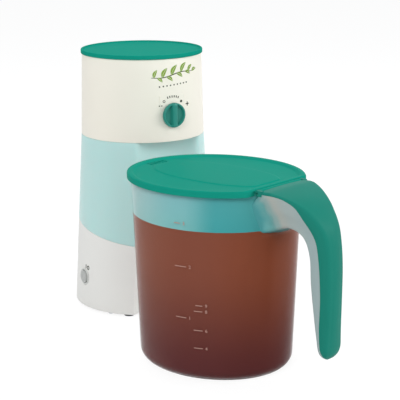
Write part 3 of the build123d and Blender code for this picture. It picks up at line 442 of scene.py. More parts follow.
# Cloudy tinted SAN: light sinks in a little way, so shadows in it are soft and stay coloured.
cloudy_aqua_san = plastic("cloudy_aqua_san", "#b5dcd8", "#bfe3df", 0.3, grain=0.03, streak=0.9, gloss=0.35,
                          **{"Subsurface Weight": 0.35, "Subsurface Radius": (0.35, 1.0, 0.9),
                             "Subsurface Scale": 0.006})
tank = add_piece("tank_sleeve", lofted("tank_sleeve", rings), cloudy_aqua_san)


def upright(x, y, low_high, radius):
    """An upright rod at a place, over a (low, high) reach."""
    return rod((x, y, low_high[0]), (x, y, low_high[1]), radius)


outlet_z = JOINT_HEIGHT_MM + JOINT_SLOPE * OUTLET_Y_MM
outlet_boss = (outlet_z - 7, outlet_z + 5)
carve(tank, [upright(0, 0, RISER_BOSS_MM, RISER_BOSS_RADIUS_MM),
             upright(OUTLET_X_MM, OUTLET_Y_MM, outlet_boss, OUTLET_BOSS_RADIUS_MM)], "UNION")
carve(tank, [upright(0, 0, BORES_MM, RISER_BORE_RADIUS_MM),
             upright(OUTLET_X_MM, OUTLET_Y_MM, BORES_MM, OUTLET_BORE_RADIUS_MM)])
hand_over(tank, "brewer", "tank_aqua", "reservoir")


# ---- Steeping basket: the cream drum with the controls on its front ----
# One moulding that sits in the tank's mouth: a tapered wall, a floor with drain ribs, the
# chimney that the riser passes up, and the drain chamber behind the strength knob.

RIM_HEIGHT_MM = 287.5
BASKET_TOP_RADIUS_MM = 67.0
BASKET_WALL_MM = 2.4
BASKET_FLOOR_MM = 2.5
CHIMNEY_TOP_MM = 264.0
CHIMNEY_RADIUS_MM = 9.5
CHIMNEY_BORE_MM = 7.0
KNOB_HEIGHT_MM = 226.0
CHAMBER_BACK_MM = 49.1
CHAMBER_TOP_MM = 248.0
CHAMBER_HALF_MM = 15.0
CHAMBER_WALL_MM = 2.0
CHAMBER_ROOM_MM = 14.6
CHAMBER_SINK_MM = 0.5
SPOUT_MM = 57.85
SPOUT_RADIUS_MM = 4.5
SPOUT_REACH_MM = (190, 203)
INSIDE_MM = 40.0
CHAMBER_OPEN_MM = 6.0
SHAFT_SEAT_RADIUS_MM = 5.1
SHAFT_HOLE_RADIUS_MM = 3.1
DRAIN_HOLE_RADIUS_MM = 2.2
DRAIN_HOLE_DROP_MM = 7.0


def turned(name, outline, steps=128, joined=True):
    """A lathe shape round the brewer's axis from (radius, height) points in millimetres."""
    rings = [[(r * cos(a), r * sin(a), z) for a in round_turns(steps)] for r, z in outline]
    return lofted(name, rings, joined=joined)


def block(name, low, high):
    """A box between two corners, in millimetres, as a mesh."""
    low, high = Vector(low) * MM, Vector(high) * MM
    mesh = bpy.data.meshes.new(name)
    work = bmesh.new()
    bmesh.ops.create_cube(work, size=1, matrix=Matrix.Translation((low + high) / 2)
                          @ Matrix.Diagonal((*(high - low), 1)))
    work.to_mesh(mesh)
    work.free()
    return mesh


def basket_radius(height):
    """Outer radius of the basket's cone at a height."""
    part = (height - LINE_HEIGHT_MM) / (RIM_HEIGHT_MM - LINE_HEIGHT_MM)
    return LINE_RADIUS_MM + (BASKET_TOP_RADIUS_MM - LINE_RADIUS_MM) * part


def front_bore(start, end, height, radius):
    """A level rod on the basket's front, between two distances from the axis."""
    return rod((0, -start, height), (0, -end, height), radius)


floor_top = LINE_HEIGHT_MM + BASKET_FLOOR_MM
outline = [(CHIMNEY_BORE_MM, LINE_HEIGHT_MM)]
outline += [(LINE_RADIUS_MM - i, LINE_HEIGHT_MM - l) for i, l in reversed(rounded(EDGE_MM))]
outline += [(basket_radius(z), z) for z in (215, 235, 255, 275)]
outline += [(BASKET_TOP_RADIUS_MM - i, RIM_HEIGHT_MM + l) for i, l in rounded(EDGE_MM)]
outline += [(BASKET_TOP_RADIUS_MM - BASKET_WALL_MM, RIM_HEIGHT_MM),
            (LINE_RADIUS_MM - BASKET_WALL_MM, floor_top),
            (CHIMNEY_RADIUS_MM, floor_top), (CHIMNEY_RADIUS_MM, CHIMNEY_TOP_MM - EDGE_MM),
            (CHIMNEY_RADIUS_MM - EDGE_MM, CHIMNEY_TOP_MM), (CHIMNEY_BORE_MM, CHIMNEY_TOP_MM)]
# Cream polypropylene with a soft satin skin: warm, a little lighter where it drifts.
cream_polypropylene = plastic("cream_polypropylene", "#efeadd", "#f3efe3", 0.4, grain=0.06, gloss=0.3)
basket = add_piece("basket_drum", turned("basket_drum", outline), cream_polypropylene)
back = -CHAMBER_BACK_MM - CHAMBER_WALL_MM
room_half = CHAMBER_HALF_MM - CHAMBER_WALL_MM
carve(basket, [block("chamber_walls",
                     (-CHAMBER_HALF_MM, -BASKET_TOP_RADIUS_MM, floor_top - CHAMBER_SINK_MM),
                     (CHAMBER_HALF_MM, -CHAMBER_BACK_MM, CHAMBER_TOP_MM - CHAMBER_SINK_MM))], "UNION")
drain_height = KNOB_HEIGHT_MM - DRAIN_HOLE_DROP_MM
carve(basket, [
    block("chamber_room", (-room_half, back - CHAMBER_ROOM_MM, floor_top),
          (room_half, back, CHAMBER_TOP_MM + CHAMBER_OPEN_MM)),
    upright(0, -SPOUT_MM, SPOUT_REACH_MM, SPOUT_RADIUS_MM),
    front_bore(OUTSIDE_MM, BEHIND_WALL_MM, KNOB_HEIGHT_MM, SHAFT_SEAT_RADIUS_MM),
    front_bore(BEHIND_WALL_MM, INSIDE_MM, KNOB_HEIGHT_MM, SHAFT_HOLE_RADIUS_MM),
    front_bore(BEHIND_WALL_MM, INSIDE_MM, drain_height, DRAIN_HOLE_RADIUS_MM),
])
hand_over(basket, "basket", "white_shell", "steeping_basket")

# A skirt under the floor slips into the tank's mouth.
skirt_out, skirt_in = TANK_WALL_MM + 0.5, TANK_WALL_MM + 2.5
rings = [tower_ring(i, joint_plane, line_plane, 1, l) for i, l in
         ((skirt_out, -SKIRT_DROP_MM), (skirt_in, -SKIRT_DROP_MM), (skirt_in, 0.3), (skirt_out, 0.3))]
skirt = add_piece("basket_skirt", lofted("basket_skirt", rings, joined=True), cream_polypropylene)
hand_over(skirt, "basket", "white_shell")


# ---- Drain ribs on the basket's floor ----
# Six low ribs hold the tea bags off the floor so that the brew can run to the spout. They are
# moulded with the floor; one box is placed round the chimney by a small node tree.

RIB_COUNT = 6
RIB_START_MM = 14.0
RIB_LENGTH_MM = 40.8
RIB_WIDE_MM = 1.8
RIB_HIGH_MM = 3.0


def repeat_tree(name, sizes):
    """An empty Geometry Nodes tree with named size inputs and one mesh output."""
    tree = bpy.data.node_groups.new(name, "GeometryNodeTree")
    tree.interface.new_socket(name="Geometry", in_out="INPUT", socket_type="NodeSocketGeometry")
    for label, value in sizes.items():
        kind = "NodeSocketInt" if isinstance(value, int) else "NodeSocketFloat"
        tree.interface.new_socket(name=label, in_out="INPUT", socket_type=kind)
    tree.interface.new_socket(name="Geometry", in_out="OUTPUT", socket_type="NodeSocketGeometry")
    return tree, node(tree, "NodeGroupInput").outputs


def vector(tree, *values):
    """A vector of values or sockets."""
    return node(tree, "ShaderNodeCombineXYZ", None, dict(enumerate(values))).outputs[0]


def bar_of(tree, *sizes):
    """A box whose sizes are sockets."""
    return node(tree, "GeometryNodeMeshCube", None, {"Size": vector(tree, *sizes)}).outputs[0]


def repeat_at(tree, points, bar, turn=(0, 0, 0)):
    """Ends a tree with the bar made real at each point."""
    placed = node(tree, "GeometryNodeInstanceOnPoints", None,
                  {"Points": points.outputs[0], "Instance": bar, "Rotation": turn})
    real = node(tree, "GeometryNodeRealizeInstances", None, {0: placed.outputs[0]})
    node(tree, "NodeGroupOutput", None, {0: real.outputs[0]})


def grown(name, tree, sizes):
    """Runs a Geometry Nodes tree with its sizes and returns the mesh."""
    holder = add_object(name, bpy.data.meshes.new(name))
    steps = holder.modifiers.new("steps", "NODES")
    steps.node_group = tree
    for item in tree.interface.items_tree:
        if item.in_out == "INPUT" and item.name in sizes:
            steps[item.identifier] = sizes[item.name]
    result = result_of(holder)
    bpy.data.objects.remove(holder)
    result.name = name
    return result


rib_sizes = {"Count": RIB_COUNT, "Start": RIB_START_MM * MM, "Length": RIB_LENGTH_MM * MM,
             "Width": RIB_WIDE_MM * MM, "Height": RIB_HIGH_MM * MM, "Floor": floor_top * MM}
tree, given = repeat_tree("drain_rib_steps", rib_sizes)
half = maths(tree, "MULTIPLY_ADD", given["Length"], 0.5, given["Start"])
rise = maths(tree, "MULTIPLY_ADD", given["Height"], 0.5, given["Floor"])
bar = node(tree, "GeometryNodeTransform", None,
           {"Geometry": bar_of(tree, given["Length"], given["Width"], given["Height"]),
            "Translation": vector(tree, half, 0, rise)})
spots = node(tree, "GeometryNodeMeshLine", None, {"Count": given["Count"], "Offset": (0, 0, 0)})
index = node(tree, "GeometryNodeInputIndex").outputs[0]
share = maths(tree, "DIVIDE", maths(tree, "ADD", index, 0.5), given["Count"])
angle = maths(tree, "MULTIPLY_ADD", share, 2 * pi, pi / 2)
repeat_at(tree, spots, bar.outputs[0], vector(tree, 0, 0, angle))
ribs = add_piece("drain_ribs", grown("drain_ribs", tree, rib_sizes), cream_polypropylene)
hand_over(ribs, "basket", "white_shell")


# ---- Strength knob: the teal dial on the basket's front ----
# A thin moulded disc with two finger hollows, which leave an upright bar across it. It presses
# on the valve's shaft and turns with the basket in place.

KNOB_SEAT_MM = 69.2
KNOB_THICK_MM = 4.0
KNOB_RADIUS_MM = 13.5
KNOB_RIM_MM = 1.7
KNOB_HOLLOW_MM = 2.4
KNOB_ROUND_MM = 0.8
GRIP_HALF_MM = 2.7
GRIP_PROUD_MM = 1.2
GRIP_CROWN = 0.45
GRIP_END_MM = 2.6
GRIP_SLOPE_MM = 1.3
HOLLOW_SLOPE_MM = 1.1
SHAFT_RADIUS_MM = 3.0


def eased(value):
    """A share of 0 to 1 with a soft start and end."""
    share = clamped(value)
    return share * share * (3 - 2 * share)


def knob_height(x, z):
    """How far the knob's front stands off its back, at a point measured from its middle."""
    reach = hypot(x, z)
    beside = eased((abs(x) - GRIP_HALF_MM) / GRIP_SLOPE_MM)
    within = eased((KNOB_RADIUS_MM - KNOB_RIM_MM - reach) / HOLLOW_SLOPE_MM)
    proud = GRIP_PROUD_MM * (1 - beside) * clamped((KNOB_RADIUS_MM - reach) / GRIP_END_MM) ** 0.5
    proud *= sqrt(1 - (min(abs(x), GRIP_HALF_MM) / GRIP_HALF_MM) ** 2 * GRIP_CROWN)
    edge = max(reach - (KNOB_RADIUS_MM - KNOB_ROUND_MM), 0)
    drop = KNOB_ROUND_MM - sqrt(max(KNOB_ROUND_MM ** 2 - edge ** 2, 0))
    return KNOB_THICK_MM + proud - KNOB_HOLLOW_MM * beside * within - drop


rings = []
for r, y in ((SHAFT_RADIUS_MM, 2.6), (SHAFT_RADIUS_MM, 0), (KNOB_RADIUS_MM - 0.4, 0), (KNOB_RADIUS_MM, 0.4),
             *[(r, None) for r in (13.5, 13.45, 13.3, 13.1, 12.85, 12.6, 12.2,
                                   *np.arange(11.8, 10.5, -0.2), *np.arange(10.4, 0.3, -0.5))]):
    flat = [(r * cos(a), r * sin(a)) for a in round_turns(144)]
    rings.append([(x, -KNOB_SEAT_MM - (knob_height(x, z) if y is None else y), KNOB_HEIGHT_MM + z)
                  for x, z in flat])
# Dark teal nylon: the hardest-worn moulding, deep in colour with small soft highlights.
dial_nylon = plastic("dial_nylon", "#1e7f73", "#238a7c", 0.36, grain=0.04, gloss=0.3)
knob = add_piece("strength_dial", lofted("strength_dial", rings), dial_nylon, smooth=50)
hand_over(knob, "knob", "teal", "strength_knob")


# ---- Basket lid: the teal cap with a thin raised rim ----
# Moulded in one piece: a shallow dish inside a rolled rim, and a short plug that locates it in
# the basket. It lifts straight off.

LID_TOP_MM = 292.0
LID_RADIUS_MM = 68.2
LID_RIM_MM = 2.6
LID_DISH_MM = 1.6
LID_THICK_MM = 2.2
PLUG_LOW_MM = 281.0
PLUG_GAP_MM = 0.7
PLUG_WALL_MM = 2.0
plug = BASKET_TOP_RADIUS_MM - BASKET_WALL_MM - PLUG_GAP_MM
dish = LID_TOP_MM - LID_DISH_MM
under = dish - LID_THICK_MM
rim_in = LID_RADIUS_MM - LID_RIM_MM
plug_in = plug - PLUG_WALL_MM
outline = [(0.5, under), (plug_in, under), (plug_in, PLUG_LOW_MM), (plug, PLUG_LOW_MM), (plug, RIM_HEIGHT_MM),
           (LID_RADIUS_MM - 0.3, RIM_HEIGHT_MM), (LID_RADIUS_MM, RIM_HEIGHT_MM + 0.3)]
outline += [(LID_RADIUS_MM - i, LID_TOP_MM + l) for i, l in rounded(1.0, 4)]
outline += [(rim_in + i, LID_TOP_MM + l) for i, l in reversed(rounded(0.6))]
outline += [(rim_in - 0.3, dish + 0.35), (rim_in - 0.9, dish + 0.05)]
outline += [(60, dish), (40, dish), (20, dish), (0.5, dish)]
# Satin teal polypropylene: a deep, even colour that stays deep where it is seen edge on.
satin_teal = plastic("satin_teal_polypropylene", "#128c79", "#16927f", 0.5, grain=0.04, gloss=0.003)
cap = add_piece("basket_cap", turned("basket_cap", outline, joined=False), satin_teal)
hand_over(cap, "basket_cover", "teal", "basket_lid")


# ---- Power button and its ring on the base's left side ----
# A pale grey ring is pressed into a round seat in the base, and the darker button slides in it
# against a spring. The button's face is parted by a shallow line.

GROOVE_PLACE_MM = 81.05
GROOVE_HALF_MM = 8.0
GROOVE_RADIUS_MM = 1.0
RING_OUTLINE = ((7.3, 68.7), (8.5, 68.7), (8.5, BEZEL_SEAT_MM), (9.6, BEZEL_SEAT_MM), (9.6, 78.1),
                (9.45, 78.5), (9.1, 78.75), (8.7, 78.85), (8.0, 78.7), (7.5, 78.3), (7.3, 77.8))
BUTTON_OUTLINE = ((0.3, 58.5), (2.5, 58.5), (2.5, 71.35), (7.0, 71.35), (7.0, 79.3), (6.9, 79.8), (6.6, 80.1),
                  (6.0, 80.3), (5.0, 80.35), (3.0, 80.3), (0.3, 80.28))


def on_left(outline, steps=72):
    """Rings round the power button's axis from (radius, distance out) points."""
    turns = round_turns(steps)[::-1]
    return [[(-out, r * cos(a), BUTTON_HEIGHT_MM - r * sin(a)) for a in turns] for r, out in outline]


# The ring's ABS is a darker grey than the base, and it is darkened further as painted shade for the seam
# round the button.
grey_ring_abs = plastic("grey_ring_abs", "#c6c8c4", "#cdcfcb", 0.34)
ring = add_piece("button_ring", lofted("button_ring", on_left(RING_OUTLINE), joined=True), grey_ring_abs)
hand_over(ring, "brewer", "grey_shell", "switch_bezel")
# The button's ABS is a cool mid grey, with a slightly sharper shine from fingers.
cool_grey_abs = plastic("cool_grey_abs", "#a9aca9", "#b4b6b3", 0.3)
button = add_piece("power_push", lofted("power_push", on_left(BUTTON_OUTLINE)), cool_grey_abs)
# The parting line: a shallow upright groove across the face.
carve(button, [rod((-GROOVE_PLACE_MM, 0, BUTTON_HEIGHT_MM - GROOVE_HALF_MM),
                   (-GROOVE_PLACE_MM, 0, BUTTON_HEIGHT_MM + GROOVE_HALF_MM), GROOVE_RADIUS_MM, 24)])
hand_over(button, "button", "button_grey", "power_button")


# ---- Return spring behind the power button ----
# A coil of zinc-plated steel wire with its end turns closed. It is pressed between the base and the button's
# back.

SPRING_TURNS = 5.5
SPRING_CLOSED = 0.13
SPRING_CLOSED_SHARE = 0.08
WIRE_MM = 0.45


def metal(name, colour, drift, rough, grain_mm, grain, along=(1, 1, 1)):
    """A bare metal whose tone and shine drift over it, with drawn, rolled or cast grain."""
    material, tree, place = patterned(name)
    drawn = node(tree, "ShaderNodeMapping", None, {"Vector": place, "Scale": along})
    lines = noise(tree, drawn.outputs[0], grain_mm, 2.0)
    surface(tree, {"Base Color": blend(tree, noise(tree, place, 12, 3.0), linear(colour), linear(drift)),
                   "Metallic": 1.0, "Roughness": from_to(tree, lines, rough - 0.06, rough + 0.08),
                   "Normal": relief(tree, lines, grain)})
    return material


low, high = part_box("button_spring")
coil_mm = (high[2] - low[2]) / MM / 2 - WIRE_MM
ends = (high[0] / MM - WIRE_MM, low[0] / MM + WIRE_MM)
rings = []
for t in np.linspace(0, 1, 241):
    turn = 2 * pi * SPRING_TURNS * t
    spaced = clamped((t - SPRING_CLOSED) / (1 - 2 * SPRING_CLOSED))
    gone = SPRING_CLOSED_SHARE * t + (1 - SPRING_CLOSED_SHARE) * spaced
    out = Vector((0, cos(turn), sin(turn)))
    centre = Vector((ends[0] + (ends[1] - ends[0]) * gone, 0, BUTTON_HEIGHT_MM)) + coil_mm * out
    rings.append([centre + WIRE_MM * (out * cos(a) + Vector((1, 0, 0)) * sin(a))
                  for a in round_turns(10)])
# Zinc-plated steel: bluish bright grey with fine turned lines.
zinc_plated_steel = metal("zinc_plated_steel", "#a9afb5", "#bcc0c3", 0.3, 0.35, 0.08, (1, 1, 4))
spring = add_piece("return_spring", lofted("return_spring", rings), zinc_plated_steel, smooth=60)
hand_over(spring, "brewer", "steel", "button_spring")
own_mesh(spring)


# ---- Pitcher: the oval clear jug, with the inner half of its handle ----
# Clear polypropylene with a milky skin inside, moulded in one piece. The wall swells softly into
# the handle, which arches out from below the rim and runs down to a round end.

PITCHER_TURN = radians(-73.0)
PITCHER_RIM_MM = 190.8
TOP_HALF_MM = (89.4, 79.1)
FOOT_HALF_MM = (81.0, 71.7)
PITCHER_WALL_MM = 2.0
PITCHER_FLOOR_MM = 2.6
HEEL_MM = 12.5
INWARD_MM = 60.0
FOOT_HOLLOW_MM = 0.9
ROOT_SWELL_MM = 6.0
ROOT_SEAT_MM = 88.0
ROOT_FILLET_MM = 12.0
ROOT_REACH_MM = 88.3
ROOT_UNDER_MM = 152.0
ROOT_TOP_MM = 188.0
TIP_HEIGHT_MM = 32.5
TIP_LEAST = 0.0004
GRIP_HALF_WIDTH_MM = 14.5
WIDTH_BLEND_MM = 1.5
PITCHER_MIDDLE = (-0.038, -0.217, 0)
pitcher_place = Matrix.Translation(PITCHER_MIDDLE) @ Matrix.Rotation(PITCHER_TURN, 4, "Z")
PITCHER_TURNS = [radians(t) for t in (*np.arange(-48, 48.1, 1.0), *np.arange(51, 309.1, 3))]
WIDTH_BY_HEIGHT = ((47, 14.5), (140, 14.5), (157, 16.4), (172, 22.6), (182, 29.4), (190, 35), (200, 35))
WIDTH_BY_REACH = ((80, 35), (92.4, 35), (99.4, 33), (110.4, 28.5), (121, 24.0), (136.5, 19.5), (151, 17))


def oval(height, inset):
    """Half lengths of the pitcher's oval along and across the handle's direction."""
    part = height / PITCHER_RIM_MM
    return [FOOT_HALF_MM[k] + (TOP_HALF_MM[k] - FOOT_HALF_MM[k]) * part - inset for k in (0, 1)]


def smooth_line(table, x):
    """Reads a smooth curve through (x, value) pairs."""
    xs, ys = zip(*table)
    if x <= xs[0] or x >= xs[-1]:
        return ys[0] if x <= xs[0] else ys[-1]
    k = max(i for i in range(len(xs) - 1) if xs[i] <= x)
    slopes = []
    for i in (k, k + 1):
        low, high = max(i - 1, 0), min(i + 1, len(xs) - 1)
        slopes.append((ys[high] - ys[low]) / (xs[high] - xs[low]))
    run = xs[k + 1] - xs[k]
    t = (x - xs[k]) / run
    return ((1 + 2 * t) * (1 - t) ** 2 * ys[k] + t * (1 - t) ** 2 * run * slopes[0]
            + t * t * (3 - 2 * t) * ys[k + 1] + t * t * (t - 1) * run * slopes[1])


def handle_half_width(reach, height):
    """Half the handle's width at a place in its side view, with a round lower end."""
    widths = smooth_line(WIDTH_BY_HEIGHT, height), smooth_line(WIDTH_BY_REACH, reach)
    wide = soft_min(*widths, WIDTH_BLEND_MM)
    left = (height - TIP_HEIGHT_MM) / GRIP_HALF_WIDTH_MM
    if left < 1:
        wide *= sqrt(max(1 - (1 - left) ** 2, TIP_LEAST))
    near = clamped(1 - (reach - ROOT_REACH_MM) / ROOT_FILLET_MM)
    low = clamped((ROOT_TOP_MM - height) / ROOT_FILLET_MM)
    return wide + ROOT_FILLET_MM * (1 - sqrt(1 - near ** 2)) * low


def root_swell(y, z):
    """How far the outside of the wall swells towards the handle's root."""
    sides = max(abs(y) - handle_half_width(ROOT_SEAT_MM, max(z, ROOT_UNDER_MM)), 0)
    away = hypot(sides, max(ROOT_UNDER_MM - z, 0))
    return ROOT_SWELL_MM * max(1 - away / ROOT_SWELL_MM, 0) ** 2


def pitcher_ring(inset, height, swell=False):
    """Ring of the pitcher's oval, with or without the swell at the handle's root."""
    along, across = oval(height, inset)
    ring = []
    for turn in PITCHER_TURNS:
        x, y = along * cos(turn), across * sin(turn)
        if swell and x > 0:
            out = Vector((x / along ** 2, y / across ** 2)).normalized() * root_swell(y, height)
            x, y = x + out.x, y + out.y
        ring.append((x, y, height))
    return ring


def facing_out(mesh):
    """Turns every face of a closed mesh outwards."""
    work = bmesh.new()
    work.from_mesh(mesh)
    bmesh.ops.recalc_face_normals(work, faces=work.faces)
    work.to_mesh(mesh)
    work.free()
    return mesh


def heel(inset, floor, steps):
    """Rings round the pitcher's lower edge, from its floor to its wall."""
    return [pitcher_ring(inset - l, floor + i) for i, l in rounded(HEEL_MM - inset, steps)]


def pitcher_piece(name, rings, material, smooth=60):
    """A piece through rings that are given in the pitcher's own directions."""
    mesh = facing_out(lofted(name, rings))
    mesh.transform(pitcher_place)
    return add_piece(name, mesh, material, smooth)


outside = [pitcher_ring(INWARD_MM, FOOT_HOLLOW_MM), pitcher_ring(24, FOOT_HOLLOW_MM), pitcher_ring(20, 0),
           *heel(0, 0, 8)]
outside += [pitcher_ring(0, z) for z in (30, 50, 70, 90, 110, 125)]
outside += [pitcher_ring(0, z, True) for z in np.arange(136, 184.1, 1.5)]
outside += [pitcher_ring(0, z) for z in (186, 189.6)]
outside += [pitcher_ring(i, PITCHER_RIM_MM + l) for i, l in rounded(0.9)]
inside = [pitcher_ring(PITCHER_WALL_MM, z) for z in (190.6, 180, 165, 154, 150, 120, 90, 60, 30)]
inside += [*heel(PITCHER_WALL_MM, PITCHER_FLOOR_MM, 6)[::-1], pitcher_ring(INWARD_MM, PITCHER_FLOOR_MM)]
# Clear polypropylene: a slightly blurred window with little glare, which lets light fall through.
clear_polypropylene, tree, place = patterned("clear_polypropylene")
blur = from_to(tree, noise(tree, place, 30, 2.0), 0.08, 0.16)
window = node(tree, "ShaderNodeBsdfPrincipled", None,
              {"Base Color": linear("#f4f9f8"), "Roughness": blur, "IOR": 1.12, "Specular IOR Level": 0.1,
               "Specular Tint": (0, 0, 0, 1), "Transmission Weight": 1.0})
through = node(tree, "ShaderNodeBsdfTransparent", None, {"Color": linear("#f4f9f8")})
shadow = node(tree, "ShaderNodeLightPath").outputs["Is Shadow Ray"]
surface(tree, mixed(tree, shadow, window, through))
jug = pitcher_piece("jug", outside + inside, clear_polypropylene)

# The pitcher's inner colours carry painted light and shade: paler on one side and deeper on the other, set
# along this direction.
PAINTED_LIGHT_TURN = radians(-31.4)
PAINTED_LIGHT_HALF_MM = 90.0


def colour_ramp(tree, share, stops):
    """A ramp with eased steps through (position, colour) stops."""
    ramp = node(tree, "ShaderNodeValToRGB", None, {0: share})
    ramp.color_ramp.interpolation = "EASE"
    while len(ramp.color_ramp.elements) < len(stops):
        ramp.color_ramp.elements.new(0.5)
    for element, (position, colour) in zip(ramp.color_ramp.elements, stops):
        element.position = position
        element.color = linear(colour)
    return ramp.outputs[0]


def jug_painted_light(name, low_stops, high_stops, start, end, steps, rough, gloss):
    """A material with two rows of colours across the pitcher that blend from one height to another; the
    change across is painted light and shade.
    """
    material, tree, place = patterned(name)
    across = node(tree, "ShaderNodeMapping", {"vector_type": "TEXTURE"},
                  {"Vector": place, "Location": PITCHER_MIDDLE, "Rotation": (0, 0, PAINTED_LIGHT_TURN)})
    parts = node(tree, "ShaderNodeSeparateXYZ", None, {0: across.outputs[0]}).outputs
    share = maths(tree, "MULTIPLY_ADD", parts["X"], 0.5 / (PAINTED_LIGHT_HALF_MM * MM), 0.5)
    rise = node(tree, "ShaderNodeMapRange", {"interpolation_type": steps},
                {"Value": parts["Z"], "From Min": start, "From Max": end})
    ramps = [colour_ramp(tree, share, stops) for stops in (low_stops, high_stops)]
    surface(tree, {"Base Color": blend(tree, rise.outputs[0], *ramps), "Roughness": rough,
                   "Specular IOR Level": gloss})
    return material


# The milky blue skin inside the wall, with painted light and shade: paler to one side and at the top.
milky_skin = jug_painted_light(
    "milky_blue_skin", ((0.0, "#96b8b7"), (0.3, "#74abab"), (0.5, "#3f9396"), (1.0, "#459698")),
    ((0.0, "#a2babb"), (0.3, "#7cadb2"), (0.5, "#4d999c"), (1.0, "#549b93")), 0.153, 0.19, "LINEAR",
    0.5, 0.05)
jug.data.materials.append(milky_skin)
first = len(outside) * len(PITCHER_TURNS)
for face in jug.data.polygons:
    if min(face.vertices) >= first:
        face.material_index = 1
hand_over(jug, "pitcher", "pitcher_clear", "pitcher_body")


# ---- Iced tea in the pitcher ----
# A still brew up to the fill line. It meets the wall all round, so it starts a hair inside the
# clear plastic, and its surface turns up a little at the wall.

TEA_LEVEL_MM = 153.4
TEA_INTO_WALL_MM = 0.05
wet = PITCHER_WALL_MM - TEA_INTO_WALL_MM
floor = PITCHER_FLOOR_MM - TEA_INTO_WALL_MM
rings = [pitcher_ring(INWARD_MM, floor), *heel(wet, floor, 8)]
rings += [pitcher_ring(wet, z) for z in (40, 70, 100, 125, 145, TEA_LEVEL_MM)]
rings += [pitcher_ring(wet + i, TEA_LEVEL_MM - drop) for i, drop in
          ((0.6, 0.5), (2.2, 1.1), (6, 1.2), (20, 1.2), (40, 1.2), (INWARD_MM, 1.2))]
# Brewed tea: red-brown and dense, darker and cooler towards the bottom, and paler to one side as painted
# light.
brewed_tea = jug_painted_light(
    "brewed_black_tea", ((0.0, "#623a39"), (0.35, "#532829"), (1.0, "#4a1d1c")),
    ((0.0, "#824e3f"), (0.35, "#7b4536"), (0.75, "#7e412c"), (1.0, "#773f2e")), 0.0, 0.13,
    "SMOOTHSTEP", 0.3, 0.06)
hand_over(pitcher_piece("iced_tea", rings, brewed_tea), "pitcher", "pitcher_clear")


# ---- Pitcher handle: cloudy inner half and teal cover ----
# The clear plastic runs on into the handle's inner half, solid and therefore milky. A teal
# polypropylene cover is screwed over its back and reaches forward to the lid's hinge.

HINGE_X_MM = 81.5
HINGE_Z_MM = 191.6
HUG_REACH_MM = 24.0
HUG_TOP_MM = 189.0
HUG_FADE_MM = 9.0
SECTIONS = 64
THINNEST_MM = 0.15
CORNER_OF_DEPTH = 0.85
CORNER_OF_WIDTH = 0.9
CROWN_OF_DEPTH = 0.3
BACK = ((85.4, 193.8), (98, 193.4), (121, 184.6), (136.5, 171.5), (145.5, 157), (149.6, 130), (149.8, 91),
        (148.6, 52), (147.4, 39), (144, 32.5))
SPLIT = ((85.4, 191), (98, 190.7), (109, 187.6), (119.5, 180), (128, 166), (136.6, 146), (141.2, 100),
         (140.8, 62), (142.4, 42), (144, 32.5))
FRONT = ((82, 150), (90, 153), (105, 157.6), (119.5, 151.5), (127, 133), (128.6, 107), (132, 80),
         (136.4, 52), (138.8, 40), (144, 32.5))


def along_curve(points, count):
    """Even points on a smooth curve through the given ones, closer together near its end."""
    points = np.array(points, float)
    steps = np.r_[0, np.cumsum(np.hypot(*np.diff(points, axis=0).T))]
    wanted = steps[-1] * (1 - (1 - np.linspace(0, 1, count)) ** 1.25)
    fine = []
    for d in wanted:
        fine.append([smooth_line(list(zip(steps, points[:, k])), d) for k in (0, 1)])
    return np.array(fine)


back_line, split_line, front_line = (along_curve(c, SECTIONS) for c in (BACK, SPLIT, FRONT))


def hugging(x, y, z):
    """Bends the handle's root back round the wall that it grows from, below the rim."""
    along, across = oval(z, 0)
    gone = along * (1 - sqrt(max(1 - (y / across) ** 2, 0.1)))
    near = clamped(1 - (x - along) / HUG_REACH_MM) ** 2
    below = clamped((HUG_TOP_MM - z) / HUG_FADE_MM)
    return (x - gone * near * below, y, z)


def handle_sections(top_line, low_line, corner_mm, crown_mm):
    """Sections from a flat seam at one line to a rounded, crowned edge at the other."""
    rings = []
    for seam, far in zip(top_line, low_line):
        length = float(np.hypot(*(far - seam)))
        depth = max(length, THINNEST_MM)
        wide = handle_half_width(*(seam + far) / 2)
        corner = min(corner_mm, CORNER_OF_DEPTH * depth, CORNER_OF_WIDTH * wide)
        side = []
        for share in (0, 0.33, 0.66, 1):
            step = share * (1 - corner / depth)
            place = seam + (far - seam) * step
            side.append((handle_half_width(*place), step * depth))
        edge = side[-1][0]
        side += [(edge - i, depth + l) for i, l in rounded(corner, 8)[1:]]
        flat = side[-1][0]
        crown = min(crown_mm, CROWN_OF_DEPTH * depth)
        side += [(flat * s, depth + crown * (1 - s * s)) for s in (0.75, 0.5, 0.25, 0)]
        way = (far - seam) / max(length, 1e-6)
        half = [(seam[0] + way[0] * d, w, seam[1] + way[1] * d) for w, d in side]
        rings.append(half + [(x, -y, z) for x, y, z in half[-2::-1]])
    return rings


# The same polypropylene where it is thick: cloudy white. It turns bluer where it thins into the wall, and the
# darkest blue there is painted shade.
clouded_polypropylene, tree, place = patterned("clouded_polypropylene")
settle = node(tree, "ShaderNodeMapping", {"vector_type": "TEXTURE"},
              {"Vector": place, "Location": PITCHER_MIDDLE, "Rotation": (0, 0, PITCHER_TURN),
               "Scale": (TOP_HALF_MM[0] * MM, TOP_HALF_MM[1] * MM, 1)})
flat = node(tree, "ShaderNodeVectorMath", {"operation": "MULTIPLY"}, {0: settle.outputs[0], 1: (1, 1, 0)})
reach = node(tree, "ShaderNodeVectorMath", {"operation": "LENGTH"}, {0: flat.outputs[0]}).outputs["Value"]
shifted = maths(tree, "MULTIPLY_ADD", noise(tree, place, 12, 3.0), 0.06, reach)
ramp = colour_ramp(tree, maths(tree, "MULTIPLY_ADD", shifted, 2.0, -2.0), (
    (0.0, "#459093"), (0.1, "#629c9c"), (0.2, "#8ba7a4"), (0.34, "#aaafa9"), (0.6, "#a2aeac"),
    (1.0, "#9cadad")))
surface(tree, {"Base Color": ramp, "Roughness": 0.35, "Specular IOR Level": 0.2, "Subsurface Weight": 0.4,
               "Subsurface Radius": (1, 1, 1), "Subsurface Scale": 0.005})
